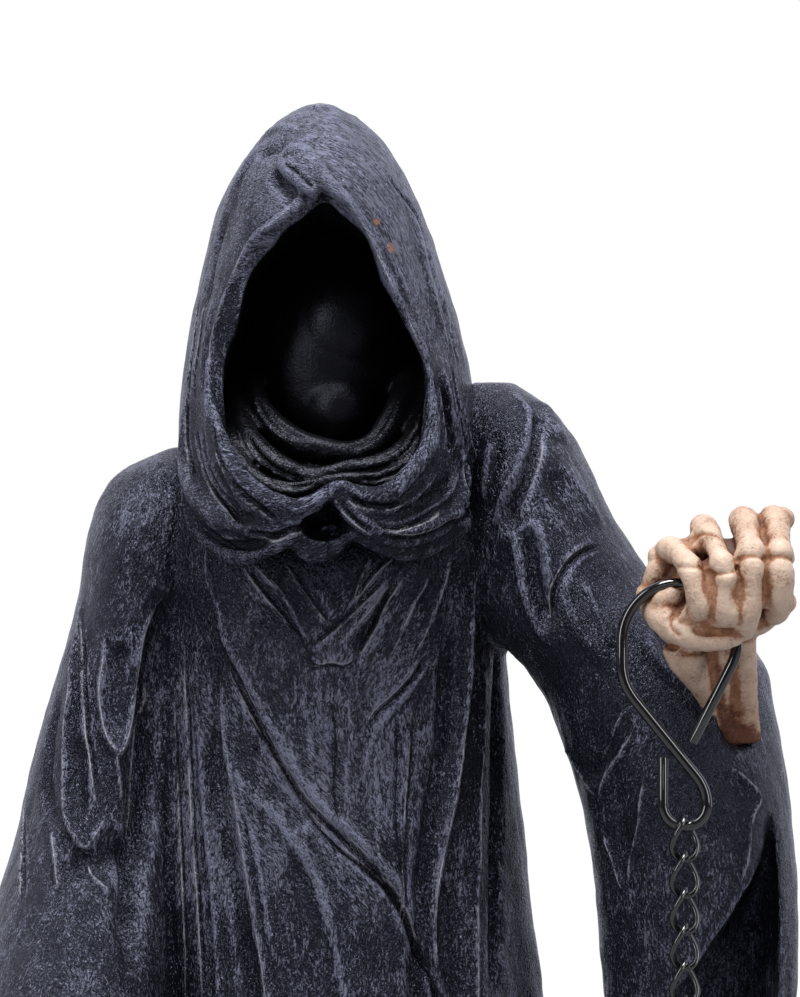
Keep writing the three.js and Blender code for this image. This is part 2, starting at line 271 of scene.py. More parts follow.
def addEgg(name, centre, half, turn=(0, 0, 0)):  # an egg from its centre and half sizes in mm
    bpy.ops.mesh.primitive_uv_sphere_add(segments=48, ring_count=32, radius=1, location=Vector(centre) * mm)
    egg = bpy.context.object
    egg.name = egg.data.name = name
    egg.scale = Vector(half) * mm
    egg.rotation_euler = turn
    bpy.ops.object.transform_apply(location=True, rotation=True, scale=True)
    return egg


lattice = np.random.default_rng(11).random((64, 64, 64))


def unrest(points, size):  # smooth noise from -1 to 1 with lumps of about the size given
    spot = np.asarray(points) / np.asarray(size)
    base = np.floor(spot).astype(int)
    t = spot - base
    t = t * t * (3 - 2 * t)
    total = np.zeros(len(spot))
    for corner in range(8):
        step = np.array([corner & 1, corner >> 1 & 1, corner >> 2 & 1])
        share = np.prod(np.where(step, t, 1 - t), axis=1)
        cell = (base + step) % 64
        total += share * lattice[cell[:, 0], cell[:, 1], cell[:, 2]]
    return total * 2 - 1


# Paint: sockets that work in sums, and one method for any other node


class Flow:  # one output of a node
    def __init__(self, paint, socket):
        self.paint = paint
        self.socket = socket

    def math(self, operation, *others):
        inputs = dict(enumerate((self, *others)))
        return self.paint.node("ShaderNodeMath", {"operation": operation}, inputs)

    def __add__(self, other):
        return self.math("ADD", other)

    def __mul__(self, other):
        return self.math("MULTIPLY", other)

    def __sub__(self, other):
        return self.math("SUBTRACT", other)

    def __rsub__(self, other):
        return self.paint.node("ShaderNodeMath", {"operation": "SUBTRACT"}, {0: other, 1: self})

    def __pow__(self, other):
        return self.math("POWER", other)

    __radd__ = __add__
    __rmul__ = __mul__


class Net:  # the nodes of a material or a world
    def __init__(self, tree):
        self.tree = tree

    def node(self, kind, settings=None, inputs=None, output=0):
        made = self.tree.nodes.new(kind)
        for name, value in (settings or {}).items():
            setattr(made, name, value)
        for name, value in (inputs or {}).items():
            self.link(made.inputs[name], value)
        return Flow(self, made.outputs[output])

    def link(self, socket, value):
        if isinstance(value, Flow):
            self.tree.links.new(value.socket, socket)
        else:
            socket.default_value = value

    def fade(self, value, low, high):  # 0 below low, 1 above high
        inputs = {"Value": value, "From Min": low, "From Max": high}
        return self.node("ShaderNodeMapRange", {"interpolation_type": "SMOOTHSTEP"}, inputs)

    def between(self, amount, first, second):  # numbers
        return self.node("ShaderNodeMix", {"data_type": "FLOAT"}, {0: amount, 2: first, 3: second})

    def blend(self, amount, first, second):  # colours, as (r, g, b) or a flow
        pair = [c if isinstance(c, Flow) else (*c, 1) for c in (first, second)]
        inputs = {0: amount, 6: pair[0], 7: pair[1]}
        return self.node("ShaderNodeMix", {"data_type": "RGBA"}, inputs, output=2)


class Paint(Net):  # a material and the nodes that colour it
    def __init__(self, name, **constants):
        self.material = bpy.data.materials.new(name)
        self.material.use_nodes = True
        super().__init__(self.material.node_tree)
        self.shader = self.tree.nodes["Principled BSDF"]
        for socket, value in constants.items():
            self.shader.inputs[socket.replace("_", " ")].default_value = value
        self.place = self.node("ShaderNodeTexCoord", output="Object")

    def grain(self, size, detail=3, rough=0.55, where=None, bend=0):  # noise from 0 to 1 with lumps of the size in mm
        spread = size if isinstance(size, tuple) else (size, size, size)
        scale = tuple(1000 / length for length in spread)
        vector = self.node("ShaderNodeVectorMath", {"operation": "MULTIPLY"}, {0: where or self.place, 1: scale})
        inputs = {"Vector": vector, "Scale": 1, "Detail": detail, "Roughness": rough, "Distortion": bend}
        return self.node("ShaderNodeTexNoise", {}, inputs)

    def painted(self, name, output="Fac"):  # what an attribute holds
        return self.node("ShaderNodeAttribute", {"attribute_name": name}, output=output)

    def finish(self, colour, roughness=None, height=None, depth=0.1):  # depth in mm
        self.link(self.shader.inputs["Base Color"], colour)
        if roughness is not None:
            self.link(self.shader.inputs["Roughness"], roughness)
        if height is not None:
            bump = self.node("ShaderNodeBump", {}, {"Height": height, "Distance": depth * mm, "Strength": 1})
            self.link(self.shader.inputs["Normal"], bump)
        return self.material


def dress(piece, material, slot, *nodes):  # gives a piece its paint, hangs it on the root body and hides the model parts it stands in for
    piece.data.materials.clear()
    piece.data.materials.append(material)
    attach(piece, "root")
    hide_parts(*nodes)


# Robe: one casting of gown, sleeves, hood and cowl

robe = {
    "voxel": 0.56,
    "hoodVoxel": 0.46,
    "triangles": 196000,
    # rows of [height, least x, most x, front y, back y]
    "gown": [
        [12.3, -69, 69, -55, 50],
        [20, -70, 70, -56, 51],
        [45, -63, 63, -49, 46],
        [100, -53, 53, -40, 39],
        [160, -44, 44, -33, 33],
        [205, -38.5, 38.5, -30, 30],
        [235, -35.5, 35.5, -28.5, 29],
        [262, -33, 33, -27.5, 28],
        [282, -33, 33, -26, 26],
        [294, -29, 29, -20, 21],
        [303, -18, 18, -12, 14],
    ],
    "rightSleeve": [
        [167, -64, -34.4, -50, -12],
        [174, -65.4, -32.4, -51, -7],
        [186, -65.8, -31, -49, 2],
        [200, -63.5, -29, -42, 10],
        [214, -60.6, -28, -33, 14],
        [226, -57.2, -27, -27, 16],
        [240, -54.2, -26, -23, 17],
        [255, -49.8, -25, -21, 17],
        [268, -46.2, -23, -19, 17],
        [280, -44.4, -21, -17, 16],
        [288, -41.6, -19, -14, 14],
        [293, -37, -17, -10, 10],
        [296.6, -28.6, -16, -5, 5],
    ],
    "rightCuff": [
        [160, -62, -36.4, -46.4, -16],
        [178, -58.6, -38.6, -44, -17],
        [186, -56.5, -40, -42, -19],
        [196, -52, -43, -36, -25],
    ],
    "leftSleeve": [
        [184, 62, 78, -30, -12],
        [190, 54, 84, -36, -6],
        [202, 50.5, 86.5, -39, -1],
        [215, 49.4, 86.5, -40, 2],
        [230, 47, 85.3, -39, 5],
        [242, 43.5, 83.6, -37, 8],
        [250, 40.4, 82, -35, 10],
        [257, 35.6, 80.5, -32, 12],
        [263, 28.6, 75, -29, 14],
        [269, 25, 64, -26, 15],
        [276, 24, 58, -24, 16],
        [284, 23, 52.8, -22, 17],
        [292, 23, 49, -20, 17],
        [300, 23, 44.6, -17, 16],
        [305, 24, 40, -12, 12],
        [308.6, 27, 34.6, -5, 6],
    ],
    "leftCuff": [
        [241.4, 74.2, 78.8, -45, -30],
        [242.8, 72.4, 79.2, -47, -28],
        [245, 71.4, 79.2, -48, -26],
        [248.7, 70, 78.8, -50, -24],
        [252.4, 67.2, 78.2, -52, -21],
        [257, 63.2, 77.8, -52, -19],
        [261.4, 59.5, 77.4, -52, -18],
        [266, 58.5, 77, -52, -17],
        [272, 58.5, 77, -52, -15],
        [282, 60, 77, -52, -12],
    ],
    "leftFall": [
        [178, 56, 82, -50, -12],
        [192, 60, 82.5, -50, -14],
        [204, 68, 82.6, -50, -16],
        [214, 75, 82.4, -50, -18],
        [220, 78.5, 82.2, -48, -22],
        [230, 80.5, 81.8, -40, -30],
    ],
    "hood": [
        [269, -15, 17, -35, 17],
        [273, -20, 21, -38.6, 22],
        [279, -24, 25.4, -40.6, 25],
        [285, -26.2, 27.2, -41, 27],
        [292, -27, 27.8, -41, 29],
        [300, -27.4, 27.6, -40, 30],
        [310, -26.6, 26.6, -39, 30],
        [320, -25, 24.2, -38, 29],
        [331, -22.6, 20.8, -36, 27],
        [342, -19.6, 16.8, -32, 23],
        [349, -15.8, 13.2, -27, 18],
        [355, -11, 8.6, -20, 11],
        [358.6, -6.5, 3.6, -13, 4],
        [360, -3, 0.5, -8, -2],
    ],
    "pleatDepth": 4.4,
    "middle": (328.6, 353),  # a pixel in the middle of the opening
    # the opening's edge in photo pixels, where the cloth turns in and where the dark begins
    "outerEdge": [
        (324, 186), (331, 186), (346, 197), (358, 216), (366, 228), (375, 247), (385, 270), (395, 293), (406, 315),
        (416, 336), (426, 359), (431, 380), (432, 405), (433, 424), (431, 443), (424, 458), (415, 470), (405, 482),
        (395, 491), (385, 497), (373, 499), (360, 497), (349, 492), (339, 487), (331, 488), (324, 497), (314, 505),
        (300, 509), (288, 508), (275, 504), (262, 498), (247, 488), (237, 476), (228, 461), (221, 443), (214, 420),
        (209, 400), (208, 380), (211, 349), (217, 324), (224, 299), (234, 274), (244, 253), (257, 235), (273, 224),
        (288, 210), (304, 200), (315, 193),
    ],
    "innerEdge": [
        (327, 201), (340, 212), (354, 224), (365, 236), (373, 255), (381, 280), (391, 297), (400, 316), (412, 338),
        (421, 359), (424, 380), (424, 400), (423, 415), (420, 440), (417, 453), (410, 466), (401, 474), (391, 480),
        (381, 485), (371, 487), (358, 485), (345, 483), (334, 482), (325, 485), (318, 490), (305, 496), (290, 499),
        (273, 498), (257, 493), (243, 483), (233, 468), (227, 446), (225, 415), (223, 390), (224, 371), (228, 349),
        (236, 330), (242, 303), (248, 280), (257, 264), (273, 247), (288, 228), (304, 216), (316, 206),
    ],
    # the cowl's lower edge over the chest
    "cowlEdge": [
        (176, 480), (182, 494), (188, 514), (196, 531), (208, 544), (222, 553), (239, 559), (256, 559), (271, 553),
        (285, 546), (296, 547), (303, 555), (313, 560), (326, 558), (338, 551), (350, 541), (363, 546), (377, 552),
        (391, 557), (406, 560), (421, 557), (436, 551), (452, 541), (467, 530), (476, 516), (481, 498), (484, 480),
    ],
    "dimple": ((325, 522, -40), (4.9, 6.5, 3.5)),
}

# rolls of cloth on the hood: photo pixels, radii in mm, and how far they stand out
cowlRolls = [
    # left
    ([(184, 480), (186, 498), (191, 514), (198, 529), (209, 541), (223, 550), (239, 555), (255, 554), (270, 548),
      (285, 541), (298, 533)], [0.8, 1.3, 1.6, 1.8, 1.9, 1.9, 1.9, 1.8, 1.7, 1.4, 0.9], 0.3),
    ([(187, 400), (186, 462), (192, 481), (201, 497), (213, 511), (226, 521), (240, 528), (257, 529), (277, 527),
      (300, 522)], [0.8, 1.8, 2.3, 2.6, 2.7, 2.6, 2.3, 2.0, 1.6, 0.9], 0.5),
    ([(206, 390), (210, 435), (217, 459), (225, 477), (236, 491), (250, 504), (265, 513), (282, 519), (300, 520)],
     [0.6, 1.2, 1.6, 1.8, 1.9, 1.9, 1.8, 1.4, 0.9], 0.9),
    ([(208, 360), (209, 400), (215, 422), (223, 444), (230, 461), (239, 476), (250, 488), (264, 498), (278, 504),
      (292, 508), (306, 507), (318, 501), (329, 491)], [0.7, 1.0, 1.3, 1.6, 1.9, 2.0, 2.1, 2.1, 2.0, 1.9, 1.8, 1.6, 1.1], 0.9),
    # right
    ([(431, 370), (432, 405), (433, 424), (430, 443), (422, 458), (413, 470), (403, 481), (392, 490), (380, 495),
      (367, 496), (354, 492), (341, 486), (331, 488)], [0.7, 1.1, 1.5, 1.8, 1.9, 1.9, 1.9, 1.9, 1.8, 1.8, 1.6, 1.3, 1.0], 0.9),
    ([(352, 500), (366, 507), (380, 511), (394, 510), (406, 505), (418, 497), (428, 487), (437, 474)],
     [0.5, 0.8, 1.0, 1.1, 1.1, 1.1, 0.9, 0.5], 0.9),
    ([(376, 524), (396, 523), (409, 519), (421, 513), (434, 505), (445, 495), (452, 485), (458, 472)],
     [0.4, 0.9, 1.0, 1.0, 1.1, 1.1, 1.0, 0.6], 1.0),
    ([(334, 490), (343, 505), (356, 518), (370, 528), (386, 533), (401, 534), (416, 532), (431, 527), (444, 519),
      (453, 510), (459, 498), (463, 481), (462, 466), (457, 443), (454, 424), (450, 405), (445, 370)],
     [0.8, 1.4, 1.7, 1.9, 2.1, 2.2, 2.2, 2.2, 2.2, 2.1, 1.9, 1.6, 1.4, 1.3, 1.2, 1.1, 0.7], 0.9),
    ([(356, 537), (366, 542), (378, 547), (391, 551), (406, 554), (421, 552), (434, 547), (447, 539), (460, 530),
      (471, 518), (476, 504), (477, 488), (474, 468), (468, 440), (462, 400)],
     [0.6, 1.0, 1.2, 1.3, 1.4, 1.4, 1.4, 1.5, 1.5, 1.5, 1.4, 1.3, 1.2, 1.0, 0.6], 0.1),
    # the cup under the pinch, and the small fold in the hollow over it
    ([(292, 541), (302, 550), (313, 555), (326, 553), (338, 546), (350, 533)], [0.8, 1.4, 1.7, 1.7, 1.4, 0.8], -1.6),
    ([(318, 531), (328, 527), (341, 530)], [0.5, 0.9, 0.5], -4.5),
    # the tip, turned over
    ([(281, 163), (287, 167), (295, 173), (303, 181), (311, 188), (319, 194)], [1.5, 2.2, 2.5, 2.5, 2.2, 1.4], 0.7),
    ([(284, 158), (291, 154), (300, 153), (309, 160), (317, 171), (326, 182), (336, 191), (346, 199), (358, 216)],
     [1.2, 1.9, 2.2, 2.2, 2.1, 1.9, 1.6, 1.2, 0.6], 1.5),
]

hoodFolds = [
    # left side
    ("groove", 0.6, 1.0, [(191, 360), (190, 380), (189, 405), (189, 437), (190.6, 456), (192.5, 469), (194, 481)]),
    ("groove", 0.6, 1.3, [(197, 430), (199, 441), (203, 458), (208, 474), (216.5, 490), (227, 504), (237, 517), (247, 527)]),
    ("ridge", 0.6, 0.5, [(202, 446), (207, 466), (215, 482), (226, 498), (237, 511)]),
    ("valley", 0.9, 0.9, [(213, 466), (221, 483), (231, 498), (243, 511), (256, 521)]),
    ("groove", 0.55, 1.1, [(231, 481), (237, 488), (247, 497), (258, 505), (267, 512), (277, 519)]),
    ("groove", 0.5, 0.7, [(212, 425), (214, 438), (219, 456), (227, 474)]),
    ("valley", 0.8, 1.5, [(196, 519), (203, 527), (214, 535), (229, 543), (243, 546), (257, 545), (270, 539)]),
    ("ridge", 0.5, 0.6, [(202, 523), (212, 530), (224, 535), (238, 539)]),
    ("groove", 0.7, 1.0, [(246, 533), (262, 535), (277, 535), (292, 528), (301, 524)]),
    ("valley", 1.6, 0.9, [(228, 212), (219, 239), (213, 264), (209, 284), (204, 310)]),
    ("groove", 0.8, 0.9, [(199, 300), (195.5, 332), (192, 361), (190, 390)]),
    ("groove", 0.6, 0.6, [(206, 300), (200, 341), (196, 371), (195, 400)]),
    ("ridge", 1.2, 0.5, [(214, 300), (207, 330), (203, 360), (201, 395)]),
    ("ridge", 1.4, 0.7, [(262, 142), (246, 166), (232, 194), (222, 222), (213, 250)]),
    ("ridge", 0.7, 0.5, [(303, 200), (288, 210), (273, 223), (257, 235), (244, 252), (234, 274), (224, 299), (217, 324),
                         (211, 349), (208, 375)]),
    # the tip
    ("valley", 1.8, 1.3, [(258, 158), (266, 150), (276, 147), (284, 149)]),
    ("valley", 0.5, 0.8, [(283, 162), (290, 166), (298, 172), (306, 180), (313, 187)]),
    ("valley", 1.1, 1.2, [(272, 172), (279, 181), (288, 189), (298, 196)]),
    ("soft", 0.9, 0.5, [(262, 136), (272, 130), (284, 127), (298, 130)]),
    ("ridge", 1.0, 0.4, [(311, 108), (322, 106), (331, 107)]),
    ("valley", 1.4, 0.4, [(304, 138), (330, 150), (352, 170), (372, 196)]),
    # right side
    ("ridge", 0.7, 0.5, [(346, 197), (358, 216), (366, 228), (375, 247), (385, 270), (395, 293), (406, 315), (416, 336),
                         (426, 359), (431, 380)]),
    ("soft", 0.8, 0.35, [(372, 228), (386, 246), (398, 268), (406, 290), (412, 310)]),
    ("groove", 0.7, 1.2, [(387, 175), (402, 196), (414, 212), (421.7, 231), (427.5, 255), (437, 289), (445, 316),
                          (452.6, 342), (460, 367)]),
    ("ridge", 0.8, 0.6, [(408, 212), (416, 224), (423.6, 255), (433, 293), (441, 322), (450, 357)]),
    ("valley", 0.9, 1.3, [(444, 300), (449, 322), (454, 342), (457, 356)]),
    ("groove", 0.6, 1.5, [(443, 385), (445, 399), (448, 424), (450, 443), (449, 460)]),
    ("groove", 0.5, 1.1, [(452, 365), (454, 380), (458, 405), (462, 431), (466, 450), (467, 469), (469, 490), (470, 504)]),
    ("groove", 0.6, 1.1, [(350, 496), (360, 502), (373, 505), (391, 505), (403, 500)]),
    ("valley", 1.0, 1.7, [(392, 517), (408, 511), (421, 505), (434, 497), (446, 485), (453, 474)]),
    ("groove", 0.6, 1.0, [(374, 517), (386, 528), (401, 527), (416, 522), (429, 515), (441, 506)]),
    ("groove", 0.8, 1.4, [(470, 494), (471, 507), (462, 517), (447, 527), (434, 534), (421, 538), (409, 540), (396, 539),
                          (380, 535)]),
    ("groove", 0.6, 0.9, [(338, 497), (347, 511), (360, 523), (372, 531)]),
]


def pleats(angle, height):  # the gown's upright folds, deeper towards the hem
    depth = robe["pleatDepth"] * (1 - ramp(12.3, 262, height))
    lean = (height - 12.3) * 0.0016
    main = np.cos(10 * angle + 5 * lean + 1.1 * np.sin(2 * angle + 0.6))
    slow = np.cos(4 * angle - 7 * lean + 2)
    fine = np.cos(27 * angle - 9 * lean + 2.2 * np.sin(3 * angle))
    return depth * (0.75 * main + 0.45 * slow + 0.16 * fine)


def hoodFront(x, z):  # the y of the hood's front, carried on below its lower edge
    left, right, front, back = smoothRows(robe["hood"], [max(z, 276)])[0]
    across = np.clip((2 * x - left - right) / (right - left), -0.985, 0.985)
    return (front + back) / 2 - (back - front) / 2 * math.sqrt(1 - across * across)


def onHood(x, y, out):  # a photo pixel as a place on the hood's front
    depth = -36
    for _ in range(4):
        spot = placed(x, y, depth)
        depth = hoodFront(spot.x, spot.z)
    return placed(x, y, depth - out)


def edgeLoop(pixels, turns):  # an edge of the opening as places on the hood, at even turns about its middle
    path = curvePoints(pixels, 400, loop=True) - robe["middle"]
    turn = np.arctan2(path[:, 0], -path[:, 1])
    order = np.argsort(turn)
    away = np.interp(turns, turn[order], np.hypot(*path.T)[order], period=2 * math.pi)
    x = robe["middle"][0] + away * np.sin(turns)
    y = robe["middle"][1] - away * np.cos(turns)
    return np.array([tuple(onHood(*pixel, 0)) for pixel in zip(x, y)])


turns = np.linspace(-math.pi, math.pi, 144, endpoint=False)
outerEdge = edgeLoop(robe["outerEdge"], turns)
innerEdge = edgeLoop(robe["innerEdge"], turns)
openingCentre = np.array(onHood(*robe["middle"], 0)) * (1, 0, 1)


def hoodHollow():
    rings = [outerEdge * (1, 0, 1) + (0, -75, 0), outerEdge + (0, -0.4, 0), innerEdge + (0, 2.8, 0)]
    for depth, scale in ((-14, 1.02), (-4, 0.98), (4, 0.82)):
        ring = openingCentre + (innerEdge - openingCentre) * scale
        ring[:, 1] = depth
        rings.append(ring)
    return loft("hollow", rings)


def underCowl():  # what is cut away below the cowl's edge
    edge = [tuple(placed(x, y, -38)) for x, y in robe["cowlEdge"]]
    edge = curvePoints(edge, 90)
    ring = np.concatenate([edge, [edge[-1] * (1, 1, 0) + (6, 0, 262), edge[0] * (1, 1, 0) + (-6, 0, 262)]])
    return loft("under", [ring * (1, 0, 1) + (0, depth, 0) for depth in (-75, -6)])


def addHood():
    hood = stack("hood", robe["hood"], 160, 0.9)
    x, y, depth = robe["dimple"][0]
    for cutter in (underCowl(), hoodHollow(), addEgg("dimple", placed(x, y, depth), robe["dimple"][1])):
        finish(hood, "BOOLEAN", operation="DIFFERENCE", solver="EXACT", object=cutter)
        bpy.data.objects.remove(cutter)
    rolls = [roll("roll", [onHood(x, y, out) for x, y in path], radii) for path, radii, out in cowlRolls]
    return joined("hood", [hood, *rolls])


def castRobe():
    gown = stack("gown", robe["gown"], 360, 1.2, pleats)
    sleeves = [stack(name, robe[name], 120, 1.2) for name in ("rightSleeve", "leftSleeve")]
    for sleeve, names in zip(sleeves, (["rightCuff"], ["leftCuff", "leftFall"])):
        for name in names:
            cutter = stack(name, robe[name], 48, 1.5)
            finish(sleeve, "BOOLEAN", operation="DIFFERENCE", solver="EXACT", object=cutter)
            bpy.data.objects.remove(cutter)
    hollow = hoodHollow()
    finish(gown, "BOOLEAN", operation="DIFFERENCE", solver="EXACT", object=hollow)
    bpy.data.objects.remove(hollow)
    body = joined("robe_cloth", [gown, *sleeves])
    finish(body, "REMESH", mode="VOXEL", voxel_size=robe["voxel"] * mm)
    return body


# Folds, carved along lines seen in the photo. A profile lists bumps across the line:
# (offset, width to the left, width to the right, height), in the line's own width and depth.

profiles = {
    "ridge": [(0, 1, 1, 1)],
    "soft": [(0, 1, 1, 1)],  # a ridge with no worn lip
    "valley": [(0, 1, 1, -1)],
    "groove": [(0, 0.7, 0.7, -1), (-1.7, 0.8, 0.8, 0.25), (1.7, 0.8, 0.8, 0.25)],
    "lipRight": [(0, 0.5, 0.5, 0.6), (1.1, 0.6, 0.7, -1)],
    "lipLeft": [(0, 0.5, 0.5, 0.6), (-1.1, 0.7, 0.6, -1)],
    "foldRight": [(0, 0.5, 0.5, -1), (1.5, 0.9, 2.4, 0.7)],
    "foldLeft": [(0, 0.5, 0.5, -1), (-1.5, 2.4, 0.9, 0.7)],
}


def across(kind, u):
    height = np.zeros_like(u)
    for offset, left, right, amount in profiles[kind]:
        v = u - offset
        height += amount * np.exp(-((v / np.where(v < 0, left, right)) ** 2))
    return height


def landed(tree, x, y):  # where the sight of a photo pixel first meets the surface
    spot, normal, _, _ = tree.ray_cast(eye * mm, sight(x, y))
    return (None, None) if spot is None else (np.array(spot) / mm, np.array(normal))


def drawn(piece, folds):  # the folds' lines laid on the surface
    tree = BVHTree.FromObject(piece, bpy.context.evaluated_depsgraph_get())
    strokes = []
    for kind, width, depth, path in folds:
        pixels = curvePoints(path, max(6, int(np.linalg.norm(np.diff(path, axis=0), axis=1).sum() / 3)))
        found = [landed(tree, x, y) for x, y in pixels]
        found = [(spot, normal) for spot, normal in found if spot is not None]
        if len(found) < 4:
            continue
        spots = np.array([spot for spot, _ in found])
        ups = np.array([normal for _, normal in found])
        for _ in range(6):
            ups[1:-1] = (ups[:-2] + ups[1:-1] * 2 + ups[2:]) / 4
            spots[1:-1, 1] = (spots[:-2, 1] + spots[1:-1, 1] * 2 + spots[2:, 1]) / 4
        ups /= np.linalg.norm(ups, axis=1)[:, None]
        along = np.gradient(spots, axis=0)
        along /= np.linalg.norm(along, axis=1)[:, None]
        side = np.cross(ups, along)
        side /= np.linalg.norm(side, axis=1)[:, None]
        tips = KDTree(len(spots))
        for index, spot in enumerate(spots):
            tips.insert(spot, index)
        tips.balance()
        strokes.append((kind, width, depth, spots, ups, along, side, tips))
    return strokes


def beside(stroke, points, facing):  # the places near a stroke, how far they lie across it in mm, how much they count
    _, width, _, spots, ups, along, side, tips = stroke
    reach = max(2.5, width * 5)
    near = np.flatnonzero(np.all((points > spots.min(0) - reach) & (points < spots.max(0) + reach), axis=1))
    nearest = np.array([tips.find(points[index])[1] for index in near], int)
    offset = points[near] - spots[nearest]
    away, lift, forward = [np.einsum("ij,ij->i", offset, axes[nearest]) for axes in (side, ups, along)]
    agree = np.einsum("ij,ij->i", facing[near], ups[nearest])
    place = nearest / (len(spots) - 1)
    ends = np.sqrt(ramp(0, 0.22, place) * ramp(0, 0.22, 1 - place))
    ends *= np.exp(-((np.maximum(np.abs(forward) - 1, 0) / width) ** 2))
    return near, away, ends * ramp(-0.1, 0.5, agree) * (1 - ramp(2.5 + width, 5 + 2 * width, np.abs(lift)))


def carve(piece, strokes):  # moves the surface out and in along each stroke
    points, facing = places(piece), normals(piece)
    moved = np.zeros(len(points))
    for stroke in strokes:
        kind, width, depth = stroke[:3]
        near, away, keep = beside(stroke, points, facing)
        moved[near] += depth * keep * across(kind, away / width)
    return points + facing * moved[:, None]


# where a profile has its thin worn lip and its sharp crease, in the line's own width
sharp = {
    "lip": {"ridge": 0, "groove": -1.3, "lipRight": 0, "lipLeft": 0, "foldRight": 0.9, "foldLeft": -0.9},
    "crease": {"valley": 0, "groove": 0, "lipRight": 1.1, "lipLeft": -1.1, "foldRight": 0, "foldLeft": 0},
    "widest": 1.05,
}


def mark(piece, strokes):  # each place's distance in mm from the nearest lip and crease, and how much it counts
    points, facing = places(piece), normals(piece)
    for name in ("lip", "crease"):
        distance = np.full(len(points), 9.0)
        strength = np.zeros(len(points))
        for stroke in strokes:
            kind, width = stroke[:2]
            if kind not in sharp[name] or width > sharp["widest"]:
                continue
            near, away, keep = beside(stroke, points, facing)
            away = away - sharp[name][kind] * width
            closer = np.abs(away) < np.abs(distance[near])
            distance[near[closer]] = away[closer]
            strength[near[closer]] = (keep * ramp(1.5, 0.8, np.abs(away)))[closer]
        attribute(piece, name, distance)
        attribute(piece, name + "Keep", strength)


